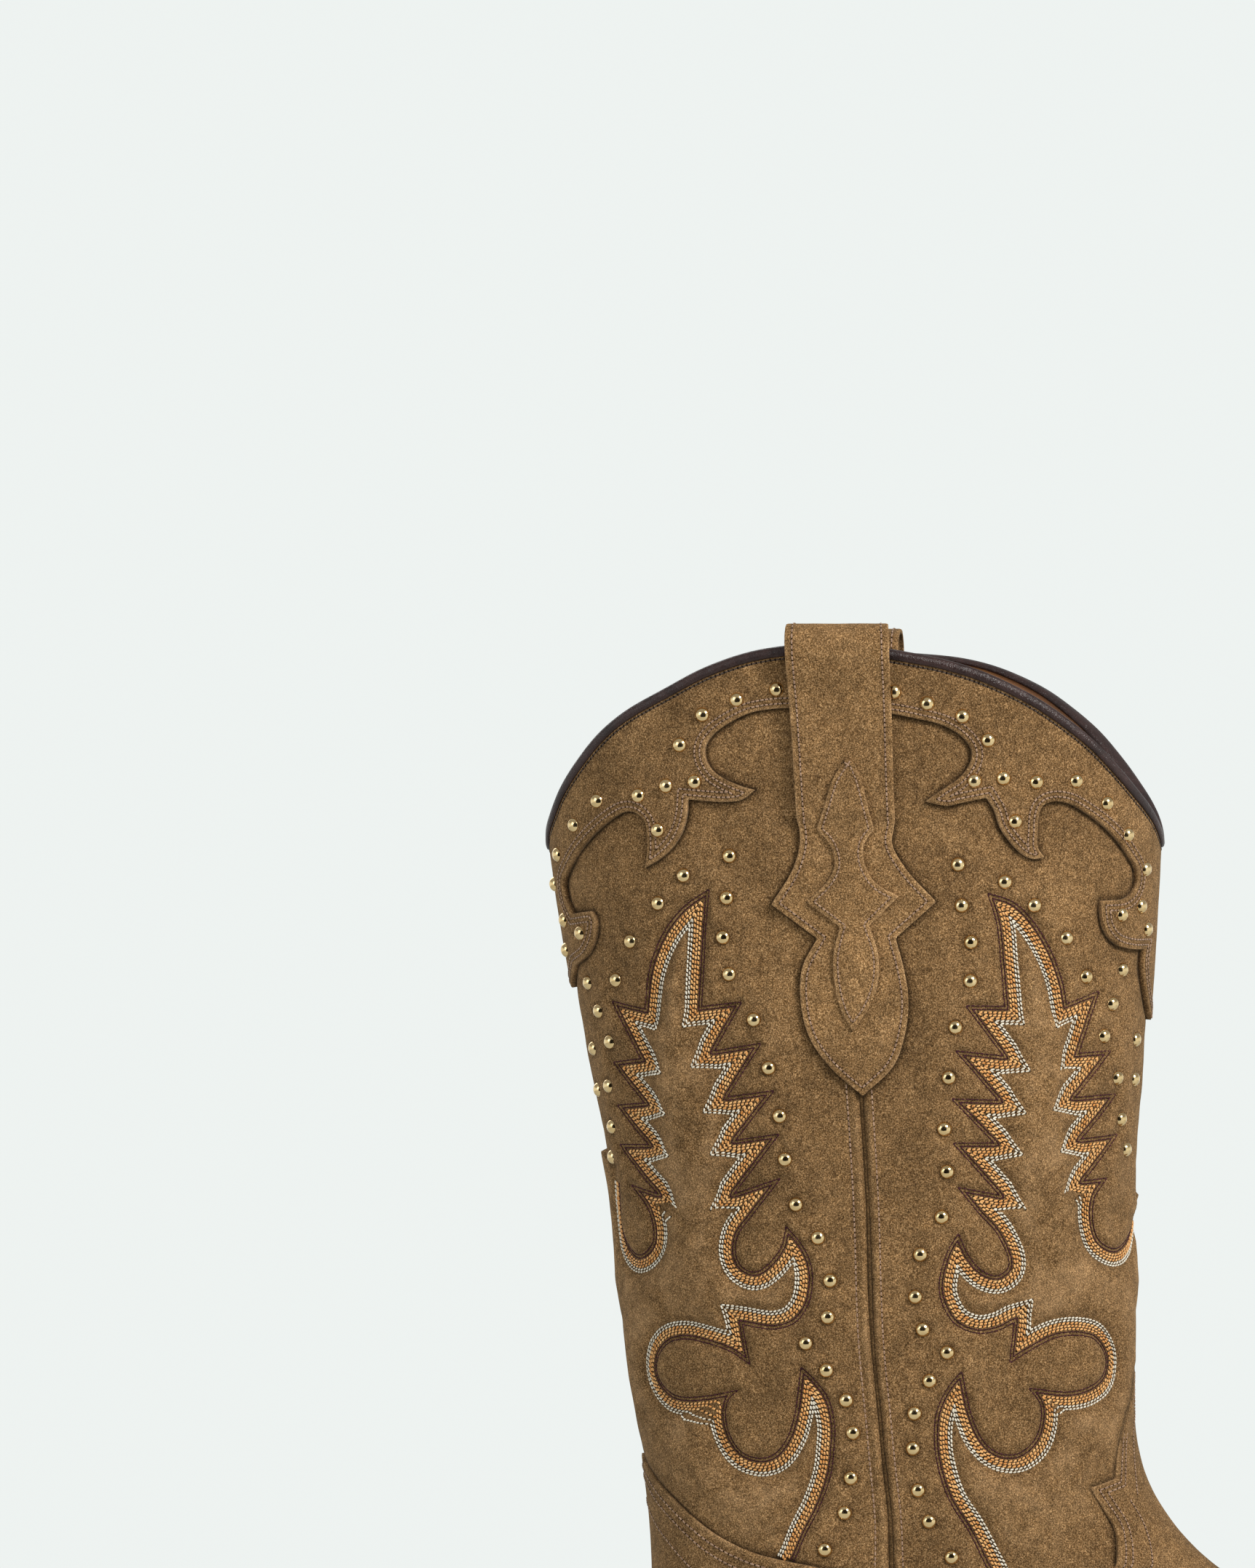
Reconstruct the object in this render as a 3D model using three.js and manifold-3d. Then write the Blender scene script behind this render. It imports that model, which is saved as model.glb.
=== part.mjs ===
// Western boot, right foot. Millimetres, +Z up, +X towards the toe, -Y lateral (outer) side.
// The upper is built from one last surface: a fan of cross-sections that runs from the top of the
// shaft down to the ankle, round the heel and along the foot to the toe. Every leather layer is an
// offset of that surface, cut to its pattern outline.
import * as THREE from 'three';
import Module from 'manifold-3d';
import { mergeVertices } from 'three/addons/utils/BufferGeometryUtils.js';

const wasm = await Module();
wasm.setup();

// ---------------------------------------------------------------- driving dimensions
const SHIFT_X = -70.607, SHIFT_Y = -1.7;   // design frame (X = 0 at the side seam) to part frame (origin under the box centre)
const GAP = 0.3;              // clearance between neighbouring pieces
const SUEDE = 1.3;            // shaft panel thickness
const LINING = 1.0;           // lining thickness
const OVERLAY = 1.2;          // vamp, counter, collar, strap and ornament thickness
const BINDING = 0.8;          // topline binding leather
const BINDING_DEPTH = 3.4;    // how far the binding folds down each side
const STRAP_TOP = 349.7;      // underside of the pull straps' loop
const STUD_D = 3.6;           // dome stud diameter
const STUD_H = 1.5;           // dome height
const SOLE_LIFT = 6.0;        // last bottom above the ground at the ball
const OUTSOLE_T = 3.4;        // outsole thickness
const WELT_T = 2.4;           // welt thickness
const HEEL_LIFTS = 5;         // leather lifts in the stacked heel
const TOP_LIFT_T = 6.0;       // rubber top lift
const FLAT_X0 = 114, FLAT_X1 = 162;   // part of the outsole that lies flat on the ground

// Stations: front point X Z, back point X Z, half width, place of the widest point, section exponents, centre shift.
const STATIONS = [
  [77, 350, -87.5, 350, 43, .5, 2.1, 2.1, 0],
  [76.3, 300, -86.2, 300, 42.5, .5, 2.1, 2.1, 0],
  [73, 240, -77, 240, 41, .5, 2.1, 2.1, 0],
  [70.4, 200, -69.6, 200, 39.5, .5, 2.1, 2.1, 0],
  [69, 160, -65.3, 160, 38, .5, 2.1, 2.1, 0],
  [68.9, 143, -60.8, 130, 37, .5, 2.1, 2.1, 0],
  [70.2, 130, -58.2, 106, 36, .5, 2.1, 2.15, 0],
  [74, 119, -57.8, 84, 35, .49, 2.1, 2.3, 0],
  [81, 108.5, -59.5, 64, 34, .47, 2.1, 2.6, 0],
  [89.5, 100, -58.2, 42, 33, .45, 2.1, 3.2, 0],
  [100, 92.5, -40, 41, 32.5, .42, 2.15, 4.5, 0],
  [112, 84, -10, 37, 33, .40, 2.2, 6, 0],
  [125, 76, 25, 27, 34, .38, 2.2, 8, 0.5],
  [140, 67, 60, 14, 38, .36, 2.2, 8, 1],
  [156, 58.5, 92, 5.8, 43, .35, 2.25, 8, 1.5],
  [172, 51, 125, 3, 45.5, .35, 2.3, 8, 2],
  [188, 44, 155, 3, 43, .36, 2.3, 8, 3],
  [203, 37.5, 182, 4.5, 35, .38, 2.3, 7, 4],
  [214, 32, 203, 7, 24, .40, 2.3, 5, 5],
  [221, 26, 216, 9.5, 12, .45, 2.2, 3.5, 5.5],
  [224, 19, 222, 12.5, 3, .5, 2.1, 2.1, 6],
];

// ---------------------------------------------------------------- last surface
const KN = [0];
for (let i = 1; i < STATIONS.length; i++) {
  const a = STATIONS[i - 1], b = STATIONS[i];
  KN.push(KN[i - 1] + 0.5 * (Math.hypot(b[0] - a[0], b[1] - a[1]) + Math.hypot(b[2] - a[2], b[3] - a[3])));
}
const VMAX = KN[KN.length - 1];
const TAN = STATIONS.map((row, i) => row.map((x, j) => {
  const n = STATIONS.length;
  if (i === 0) return (STATIONS[1][j] - x) / (KN[1] - KN[0]);
  if (i === n - 1) return (x - STATIONS[n - 2][j]) / (KN[n - 1] - KN[n - 2]);
  const h0 = KN[i] - KN[i - 1], h1 = KN[i + 1] - KN[i];
  const s0 = (x - STATIONS[i - 1][j]) / h0, s1 = (STATIONS[i + 1][j] - x) / h1;
  return s0 * s1 <= 0 ? 0 : (s0 * h1 + s1 * h0) / (h0 + h1);
}));
function station(v) {
  v = Math.min(Math.max(v, 0), VMAX);
  let i = 0;
  while (i < KN.length - 2 && v > KN[i + 1]) i++;
  const h = KN[i + 1] - KN[i], u = (v - KN[i]) / h;
  return STATIONS[i].map((a, j) => (2 * u ** 3 - 3 * u * u + 1) * a + (u ** 3 - 2 * u * u + u) * h * TAN[i][j]
    + (-2 * u ** 3 + 3 * u * u) * STATIONS[i + 1][j] + (u ** 3 - u * u) * h * TAN[i + 1][j]);
}
// t = 0 at the front line, 90 deg at the lateral side seam, 180 deg at the back line.
function surf(t, v) {
  const [fx, fz, kx, kz, w, qm, nF, nK, yc] = station(v);
  const c = Math.cos(t), s = Math.sin(t), n = c >= 0 ? nF : nK;
  const cc = Math.abs(c) ** (2 / n), ss = Math.sign(s) * Math.abs(s) ** (2 / n);
  const q = c >= 0 ? qm + (1 - qm) * cc : qm - qm * cc;
  return new THREE.Vector3(kx + (fx - kx) * q, yc - w * ss, kz + (fz - kz) * q);
}
function normal(t, v) {
  const e = 0.02, f = 0.5;
  const a = surf(t + e, v).sub(surf(t - e, v));
  const b = surf(t, Math.min(v + f, VMAX)).sub(surf(t, Math.max(v - f, 0)));
  return a.cross(b).normalize();
}
const D2R = Math.PI / 180;
const COLS = [];
for (const base of [0, 90, 180, 270]) {
  const q = [0, 9, 19, 30, 43, 58, 74];
  for (const a of base % 180 === 0 ? q : [90, ...q.slice(1).reverse()].map(x => 90 - x)) COLS.push((base + a) * D2R);
}
const ROWS = [0, 25, 50, 75, 100, 125, 151, 191, 214.6, 233, 250, 266, 281.4, 297, 320, 345, 373, 398, 424, 447, 461, 475, 484, 492, 499];
const UPPER_ROWS = [0, 10, 20, 28, 34, 40, 47, 54, 61, 72, 86, 100, 115, 130];
const grid = rows => rows.map(v => COLS.map(t => ({ p: surf(t, v), n: normal(t, v) })));

// ---------------------------------------------------------------- solids
function solidOf(positions, indices) {
  let g = new THREE.BufferGeometry();
  g.setAttribute('position', new THREE.Float32BufferAttribute(positions, 3));
  g.setIndex(indices);
  return manifoldOf(g);
}
function manifoldOf(g) {
  g = g.clone();
  g.deleteAttribute('normal'); g.deleteAttribute('uv');
  g = mergeVertices(g, 1e-4);
  return new wasm.Manifold(new wasm.Mesh({
    numProp: 3,
    vertProperties: new Float32Array(g.attributes.position.array),
    triVerts: new Uint32Array(g.index.array),
  }));
}
// A closed layer between two offsets of the last surface (a sock: open at the top, closed at the toe).
function layer(outer, inner, levels = ROWS) {
  const pos = [], idx = [], nc = COLS.length, rows = levels.length, SURF = grid(levels);
  for (const d of [outer, inner])
    for (let i = 0; i < rows; i++) for (let k = 0; k < nc; k++) {
      const { p, n } = SURF[i][k];
      const off = typeof d === 'function' ? d(p) : d;
      pos.push(p.x + n.x * off, p.y + n.y * off, p.z + n.z * off);
    }
  const at = (L, i, k) => L * rows * nc + i * nc + ((k + nc) % nc);
  for (let i = 0; i + 1 < rows; i++) for (let k = 0; k < nc; k++) {
    const a = at(0, i, k), b = at(0, i, k + 1), c = at(0, i + 1, k + 1), d = at(0, i + 1, k);
    idx.push(a, b, c, a, c, d);
    const e = at(1, i, k), f = at(1, i, k + 1), g = at(1, i + 1, k + 1), h = at(1, i + 1, k);
    idx.push(e, g, f, e, h, g);
  }
  for (let k = 0; k < nc; k++) {
    const a = at(0, 0, k), b = at(0, 0, k + 1), e = at(1, 0, k), f = at(1, 0, k + 1);
    idx.push(a, f, b, a, e, f);
  }
  // toe end: fan caps of the outer and inner surfaces
  for (const L of [0, 1]) {
    const c = new THREE.Vector3();
    for (let k = 0; k < nc; k++) {
      const o = at(L, rows - 1, k) * 3;
      c.add(new THREE.Vector3(pos[o], pos[o + 1], pos[o + 2]));
    }
    c.divideScalar(nc);
    const nrm = surf(0, levels[rows - 1]).sub(surf(0, levels[rows - 2])).normalize();
    const d = L === 0 ? outer : inner, push = typeof d === 'function' ? 0 : d;
    pos.push(c.x + nrm.x * push, c.y, c.z);
    const m = pos.length / 3 - 1;
    for (let k = 0; k < nc; k++) {
      const a = at(L, rows - 1, k), b = at(L, rows - 1, k + 1);
      if (L === 0) idx.push(a, b, m); else idx.push(a, m, b);
    }
  }
  let s = solidOf(pos, idx);
  if (s.volume() < 0) s = solidOf(pos, idx.map((_, i) => idx[i - (i % 3) + [0, 2, 1][i % 3]]));
  return s;
}
// Prism: an outline in the side view (X, Z), through the part between two Y values.
function sideCut(points, y0 = -90, y1 = 90) {
  const sh = new THREE.Shape(points.map(([x, z]) => new THREE.Vector2(x, z)));
  const g = new THREE.ExtrudeGeometry(sh, { depth: y1 - y0, bevelEnabled: false, curveSegments: 6 });
  g.rotateX(Math.PI / 2);            // (x, z, depth) -> Y runs from 0 to -depth
  g.translate(0, y1, 0);
  return manifoldOf(g);
}
// Prism: an outline seen from above (X, Y), between two heights.
function planCut(points, z0, z1) {
  const sh = new THREE.Shape(points.map(([x, y]) => new THREE.Vector2(x, y)));
  const g = new THREE.ExtrudeGeometry(sh, { depth: z1 - z0, bevelEnabled: false });
  g.translate(0, 0, z0);
  return manifoldOf(g);
}
const group = new THREE.Group();
const MATERIALS = {
  suede: { color: 0x765e3c, roughness: 0.95, metalness: 0 },
  strap: { color: 0x7d6340, roughness: 0.95, metalness: 0 },
  lining: { color: 0xb4733f, roughness: 0.6, metalness: 0 },
  binding: { color: 0x3f2c2b, roughness: 0.42, metalness: 0 },
  brass: { color: 0xd6ac4e, roughness: 0.2, metalness: 1 },
  sole: { color: 0x6e4425, roughness: 0.5, metalness: 0 },
  welt: { color: 0x8a5a32, roughness: 0.55, metalness: 0 },
  rubber: { color: 0x1d1a18, roughness: 0.75, metalness: 0 },
  board: { color: 0xa58864, roughness: 0.85, metalness: 0 },
  cork: { color: 0xa87d4f, roughness: 0.95, metalness: 0 },
  steel: { color: 0x9a9da1, roughness: 0.35, metalness: 1 },
};
function add(name, solid, material) {
  if (Array.isArray(solid)) solid = solid.reduce((a, b) => a.add(b));
  const parts = solid.simplify(0.13).decompose().sort((a, b) => b.volume() - a.volume());
  const m = parts[0].getMesh();
  const g = new THREE.BufferGeometry();
  g.setAttribute('position', new THREE.Float32BufferAttribute(Float32Array.from(m.vertProperties), 3));
  g.setIndex(Array.from(m.triVerts));
  g.computeVertexNormals();
  const mesh = new THREE.Mesh(g, new THREE.MeshStandardMaterial(MATERIALS[material]));
  mesh.name = name;
  group.add(mesh);
  return parts[0];
}

// ---------------------------------------------------------------- pattern outlines (side view, mm)
const seamX = z => { const q = station(zToV(z)); return q[2] + (q[0] - q[2]) * q[5]; };
function zToV(z) { // station parameter of the side seam at height z
  let lo = 0, hi = 300;
  for (let i = 0; i < 40; i++) { const m = (lo + hi) / 2; if (surf(Math.PI / 2, m).z > z) lo = m; else hi = m; }
  return (lo + hi) / 2;
}
const TOPLINE = [[-96, 293], [-85, 296.9], [-84, 301], [-81.3, 307.5], [-76.8, 314.5], [-70.6, 322], [-63.9, 327.5], [-53.1, 333.5],
  [-42.5, 339], [-30.8, 343], [-20.3, 344.7], [-6, 345], [7.8, 343.5], [21.5, 340.8], [30.4, 338], [37.2, 335], [45.3, 330.6], [52.1, 325.8],
  [58.9, 320.2], [65.7, 312.7], [70.5, 306.5], [74.2, 300.2], [75.6, 294.5], [90, 290]];
const BIND_DROP = 1.1;   // panels end this far below the top of the binding
const topline = drop => TOPLINE.map(([x, z]) => [x, z - drop]);
const below = drop => sideCut([[-100, -20], [260, -20], [260, 280], ...topline(drop).reverse(), [-100, 280]]);
// lower edge of the shaft pieces, hidden inside vamp and counter
const SHAFT_FOOT = [[-100, 108], [-30, 94], [5, 86], [30, 82], [60, 83], [76, 92], [100, 118]];
const aboveFoot = sideCut([...SHAFT_FOOT, [100, 400], [-100, 400]]);
// upper edge of the foot's inner layers, clear of the shaft pieces at both ends of the flex
const FOOT_TOP = [[-100, 94], [-40, 84], [0, 75], [40, 68], [70, 66], [130, 72]];
const footInner = sideCut([[-100, -30], [260, -30], [260, 72], ...FOOT_TOP.slice().reverse()]);
// last bottom line and its offsets
const BOTTOM = [];
for (let x = -66; x <= 226; x += 8) BOTTOM.push([x, bottomZ(x)]);
function bottomZ(x) {
  const P = [[-70, 46], [-58, 45.4], [-40, 44], [-10, 40], [25, 30], [60, 17], [92, 9], [FLAT_X0, SOLE_LIFT], [FLAT_X1, SOLE_LIFT], [182, 7.5], [203, 9.8], [216, 12], [230, 15]];
  let i = 0;
  while (i < P.length - 2 && x > P[i + 1][0]) i++;
  const m = k => k <= 0 || k >= P.length - 1 ? (k <= 0 ? -0.05 : 0.2)
    : ((P[k + 1][1] - P[k][1]) / (P[k + 1][0] - P[k][0]) * (P[k][1] - P[k - 1][1]) / (P[k][0] - P[k - 1][0]) <= 0 ? 0
      : 0.5 * ((P[k + 1][1] - P[k][1]) / (P[k + 1][0] - P[k][0]) + (P[k][1] - P[k - 1][1]) / (P[k][0] - P[k - 1][0])));
  const h = P[i + 1][0] - P[i][0], u = (x - P[i][0]) / h;
  return (2 * u ** 3 - 3 * u * u + 1) * P[i][1] + (u ** 3 - 2 * u * u + u) * h * m(i)
    + (-2 * u ** 3 + 3 * u * u) * P[i + 1][1] + (u ** 3 - u * u) * h * m(i + 1);
}
const BX = [-76, -58, -40, -20, 0, 20, 42, 65, 84, 100, FLAT_X0, FLAT_X1, 182, 203, 240];
// slab that follows the last bottom between two offsets
const slab = (lo, hi) => sideCut([...BX.map(x => [x, bottomZ(x) + lo]), ...BX.slice().reverse().map(x => [x, bottomZ(x) + hi])]);
const overBottom = off => sideCut([...BX.map(x => [x, bottomZ(x) + off]), [240, 400], [-76, 400]]);
// plan outline of the last's feather edge, grown or shrunk by d, as a share of its width
const PLAN = [[-60, 0], [-57, 15], [-50, 23], [-40, 28], [-25, 31], [-5, 31.5], [15, 30.5], [40, 31.5], [65, 36], [90, 41.5], [110, 45], [130, 46], [150, 44.5], [170, 39.5], [187, 32], [201, 23], [212, 14.5], [220, 7.5], [224.5, 0]];
const centreY = x => { const u = Math.min(Math.max((x - 60) / 164, 0), 1); return 6 * u * u * (3 - 2 * u); };
function plan(d) {
  const up = [], dn = [];
  PLAN.forEach(([x, w], i) => {
    const a = PLAN[Math.max(i - 1, 0)], b = PLAN[Math.min(i + 1, PLAN.length - 1)];
    let nx = -(b[1] - a[1]), ny = (b[0] - a[0]);
    if (i === 0) { nx = -1; ny = 0; } if (i === PLAN.length - 1) { nx = 1; ny = 0; }
    const l = Math.hypot(nx, ny); nx /= l; ny /= l;
    const X = x + nx * d, Y = Math.max(w + ny * d, 0);
    up.push([X, centreY(x) + Y]);
    if (i > 0 && i < PLAN.length - 1) dn.push([X, centreY(x) - Y]);
  });
  return [...up, ...dn.reverse()].reverse();
}

// ---------------------------------------------------------------- layers
const L1 = layer(GAP + OVERLAY, GAP);                         // overlays: vamp, counter, collar
const L0 = layer(0, -SUEDE, ROWS.slice(0, 24));                                  // shaft panels, toe box, heel stiffener
const LM = layer(-SUEDE - GAP, -SUEDE - GAP - LINING, ROWS.slice(0, 21));    // linings

// shaft panels and linings, split on the side seams
const seamPts = [-40, 60, 100, 130, 160, 200, 240, 300, 350, 420].map(z => [seamX(Math.min(Math.max(z, 60), 349)), z]);
const frontSide = d => sideCut([...seamPts.map(([x, z]) => [x + d, z]), [260, 420], [260, -40]]);
const backSide = d => sideCut([...seamPts.slice().reverse().map(([x, z]) => [x - d, z]), [-160, -40], [-160, 420]]);
const shaftBody = L0.intersect(below(BIND_DROP)).intersect(aboveFoot);
add('shaft_front_panel', shaftBody.intersect(frontSide(0.8)), 'suede');
add('shaft_back_panel', shaftBody.intersect(backSide(0.8)), 'suede');
const shaftLining = LM.intersect(below(BIND_DROP)).intersect(aboveFoot);
add('shaft_front_lining', shaftLining.intersect(frontSide(0.15)), 'lining');
add('shaft_back_lining', shaftLining.intersect(backSide(0.15)), 'lining');

// side seam piping: a narrow strip that stands up in the gap between the panels
const pipingLayer = layer(0.9, -SUEDE);
const pipingCut = (y0, y1) => sideCut([...seamPts.map(([x, z]) => [x - 0.5, z]), ...seamPts.slice().reverse().map(([x, z]) => [x + 0.5, z])], y0, y1)
  .intersect(sideCut([[-60, 112], [60, 112], [60, 224.5], [-60, 224.5]]));
add('side_seam_piping_lateral', pipingLayer.intersect(pipingCut(-90, 0)), 'suede');
add('side_seam_piping_medial', pipingLayer.intersect(pipingCut(0, 90)), 'suede');

// scalloped collar overlays
const COLLAR_BACK = [[-19.5, 328.8], [-30.8, 327.4], [-36.6, 324.5], [-42.2, 319], [-42.2, 315.6], [-36.6, 309.8], [-29.1, 307.2], [-36.6, 304],
  [-46.9, 304.7], [-48.4, 296.5], [-58.6, 286.6], [-57.9, 295.3], [-60.9, 301.1], [-63.9, 301.4], [-75.6, 292.3], [-81.3, 282.3], [-78.8, 274.2],
  [-73.3, 275], [-72.4, 267.9], [-78.1, 260.4], [-82.5, 244], [-100, 240]];
const COLLAR_FRONT = [[7.8, 327.1], [20.1, 324.3], [27.6, 318.1], [27.6, 314.7], [20.1, 307.2], [15.7, 304.1], [24.9, 303.7], [31.7, 305.1],
  [35.1, 297.5], [41.2, 290], [46.7, 289.4], [45, 296.2], [46.3, 303], [52.8, 303.7], [64.3, 295.4], [70.4, 285.7], [67.7, 278.5],
  [61.3, 277.8], [62.3, 269.9], [69.1, 264.9], [72.4, 253], [74, 246], [95, 246]];
const collarBody = L1.intersect(below(BIND_DROP));
add('collar_overlay_back', collarBody.intersect(sideCut([[-6.7, 360], [-6.7, 328.6], ...COLLAR_BACK, [-110, 360]])), 'suede');
add('collar_overlay_front', collarBody.intersect(sideCut([[-6.3, 328.4], ...COLLAR_FRONT, [110, 360], [-6.3, 360]])), 'suede');

// topline binding: folded over collar, panel and lining
const bindOut = layer(GAP + OVERLAY + GAP + BINDING, -SUEDE - GAP - LINING - GAP - BINDING, ROWS.slice(0, 6));
const bindIn = layer(GAP + OVERLAY + GAP, -SUEDE - GAP - LINING - GAP, ROWS.slice(0, 6));
const bindBody = bindOut.intersect(below(0)).subtract(below(BINDING_DEPTH + 1))
  .subtract(bindIn.intersect(below(BIND_DROP - GAP)));
add('topline_binding_front', bindBody.intersect(sideCut([[-6.3, 250], [120, 250], [120, 400], [-6.3, 400]])), 'binding');
add('topline_binding_back', bindBody.intersect(sideCut([[-6.7, 250], [-6.7, 400], [-130, 400], [-130, 250]])), 'binding');

// pull straps: a band sewn outside, looped over the topline and sewn inside, with a flared outer end
const FLARE = [[-17.8, 300], [-17.4, 293], [-19.1, 286.1], [-24.8, 277], [-12.7, 268], [-16.6, 260.3], [-17, 251.7], [-14.9, 242.3], [-9.7, 234.5],
  [-0.7, 226.4], [7.5, 234.6], [10.5, 243.2], [11.3, 251.8], [10.1, 260.3], [7.9, 268.1], [18.6, 277.7], [10.9, 286.1], [7.1, 293], [7.6, 300], [8, 321], [-19.2, 321]];
const STRAP_N = [[1.9, 303], [2.0, 322], [2.8, 332], [4.8, 340], [5.8, 344.5], [5.0, 348], [2.8, STRAP_TOP], [-2.8, STRAP_TOP], [-6.2, 348], [-7.2, 343.5], [-6.2, 333], [-4.8, 318], [-4.8, 300]];
function strapBand(side) {
  // outer and inner lines of the band in the (Y, Z) plane
  const mid = STRAP_N.map(([n, z]) => {
    const w = surf(Math.PI / 2, zToV(Math.min(z, 349))).y;
    return new THREE.Vector2(w - n, z);
  });
  const c = new THREE.SplineCurve(mid), N = 30, a = [], b = [];
  for (let i = 0; i <= N; i++) {
    const p = c.getPoint(i / N), tg = c.getTangent(i / N);
    a.push([p.x, p.y]);
    b.push([p.x - tg.y * OVERLAY, p.y + tg.x * OVERLAY]);
  }
  const sh = new THREE.Shape([...a, ...b.reverse()].map(([y, z]) => new THREE.Vector2(y, z)));
  const g = new THREE.ExtrudeGeometry(sh, { depth: 26.2, steps: 1, bevelEnabled: false });
  // extrude runs along local Z; turn so that shape X -> Y, shape Y -> Z, depth -> X
  const m = new THREE.Matrix4().set(0, 0, 1, 0, 1, 0, 0, 0, 0, 1, 0, 0, 0, 0, 0, 1);
  g.applyMatrix4(m);
  // lean: the band moves back as it rises
  const p = g.attributes.position;
  for (let i = 0; i < p.count; i++) p.setX(i, p.getX(i) - 18.2 - (p.getZ(i) - 297) * 0.052);
  let s = manifoldOf(g);
  if (side > 0) s = s.mirror([0, 1, 0]);
  return s;
}
const ramp = (z, z0, z1) => { const u = Math.min(Math.max((z - z0) / (z1 - z0), 0), 1); return u * u * (3 - 2 * u); };
const flareBase = p => GAP + 1.65 * ramp(p.z, 296, 303);
const flareLayer = layer(p => flareBase(p) + OVERLAY, flareBase, UPPER_ROWS);
const diamondBase = p => GAP + OVERLAY + GAP + 2.3 * ramp(p.z, 288, 299);
const diamondLayer = layer(p => diamondBase(p) + 1.0, diamondBase, UPPER_ROWS);
const DIAMOND = [[-4.9, 315.7], [-8.3, 310.1], [-10.5, 303.2], [-12.6, 296.8], [-9.2, 292.9], [-7.9, 287.8], [-9.6, 283.5], [-15.2, 277.7], [-6.7, 271.1],
  [-8.4, 263.8], [-8, 256], [-6.3, 249.2], [-3.2, 243.6], [0.6, 249.2], [3.2, 256], [3.4, 263.8], [1.1, 271.5], [8.8, 279.2], [2.8, 282.7], [-0.2, 287.8],
  [-0.2, 293], [2.4, 296.8], [0.7, 303.2], [-1, 310.1], [-2.7, 314.4]];
for (const [tag, side] of [['lateral', -1], ['medial', 1]]) {
  const y = side < 0 ? [-90, 0] : [0, 90];
  const flare = flareLayer.intersect(sideCut(FLARE, ...y));
  add('pull_strap_' + tag, flare.add(strapBand(side)), 'strap');
  add('strap_diamond_' + tag, diamondLayer.intersect(sideCut(DIAMOND, ...y)), 'strap');
}

// vamp and counter
const VAMP = [[7.2, -20], [7.2, 97], [22, 93.5], [45, 91], [58, 93.5], [66, 101], [65.9, 106.2], [61.7, 116.4], [58.3, 121.9], [64.8, 123.8], [66.4, 139.4], [68.2, 149.2], [84, 149.2], [260, 149.2], [260, -20]];
const COUNTER = [[6.4, -20], [6.4, 97], [-14.8, 101.6], [-29, 104.5], [-35.3, 106.6], [-41.1, 109.9], [-50.9, 117.5], [-58.7, 125.2], [-63, 130], [-110, 131], [-110, -20]];
const upperFoot = L1.intersect(overBottom(GAP));
add('vamp', upperFoot.intersect(sideCut(VAMP)), 'suede');
add('counter', upperFoot.intersect(sideCut(COUNTER)), 'suede');
const innerFoot0 = L0.intersect(overBottom(1.7)).intersect(footInner);
add('toe_box', innerFoot0.intersect(sideCut([[168, -20], [168, 90], [260, 90], [260, -20]])), 'board');
add('heel_stiffener', innerFoot0.intersect(sideCut([[-110, -20], [10, -20], [-4, 60], [-20, 200], [-110, 200]])), 'board');
const innerFootM = LM.intersect(overBottom(4.0)).intersect(footInner);
add('vamp_lining', innerFootM.intersect(sideCut([[12.3, -20], [12.3, 200], [260, 200], [260, -20]])), 'lining');
add('heel_lining', innerFootM.intersect(sideCut([[11.9, -20], [11.9, 200], [-110, 200], [-110, -20]])), 'lining');

// ---------------------------------------------------------------- bottom
const toToe = x => sideCut([[-100, -20], [x, -20], [x, 90], [-100, 90]]);
const shankPlan = [[-44, -7], [-44, 7], [60, 7], [60, -7]];
add('sock_lining', slab(2.7, 3.7).intersect(planCut(plan(-14.5), -30, 90)).intersect(toToe(199)), 'lining');
add('insole_board', slab(0.3, 2.4).intersect(planCut(plan(-13.5), -30, 90)).intersect(toToe(200)), 'board');
add('welt', slab(-WELT_T, 0).intersect(planCut(plan(4.5), -30, 90)).subtract(planCut(plan(-8), -60, 120)), 'welt');
add('bottom_filler', slab(-WELT_T, 0).intersect(planCut(plan(-8.4), -30, 90))
  .subtract(slab(-1.9, 5).intersect(planCut(shankPlan.map(([x, y]) => [x * 1.01 + (x < 0 ? -0.4 : 0.4), y * 1.05]), -60, 120)))
  .subtract(new wasm.Manifold(manifoldOf(new THREE.CylinderGeometry(2.6, 2.6, 60, 12).rotateX(Math.PI / 2).translate(-30, 0, 40)).getMesh())), 'cork');
add('steel_shank', slab(-1.6, -0.4).intersect(planCut(shankPlan, -60, 120))
  .subtract(manifoldOf(new THREE.CylinderGeometry(2.6, 2.6, 60, 12).rotateX(Math.PI / 2).translate(-30, 0, 40))), 'steel');
const soleTop = -WELT_T - GAP, soleLow = soleTop - (SOLE_LIFT - WELT_T - GAP);
const screwHole = manifoldOf(new THREE.CylinderGeometry(2.3, 2.3, 120, 12).rotateX(Math.PI / 2).translate(-30, 0, 0));
add('outsole', slab(soleLow, soleTop).intersect(planCut(plan(5), -30, 90)).subtract(screwHole), 'sole');

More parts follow.
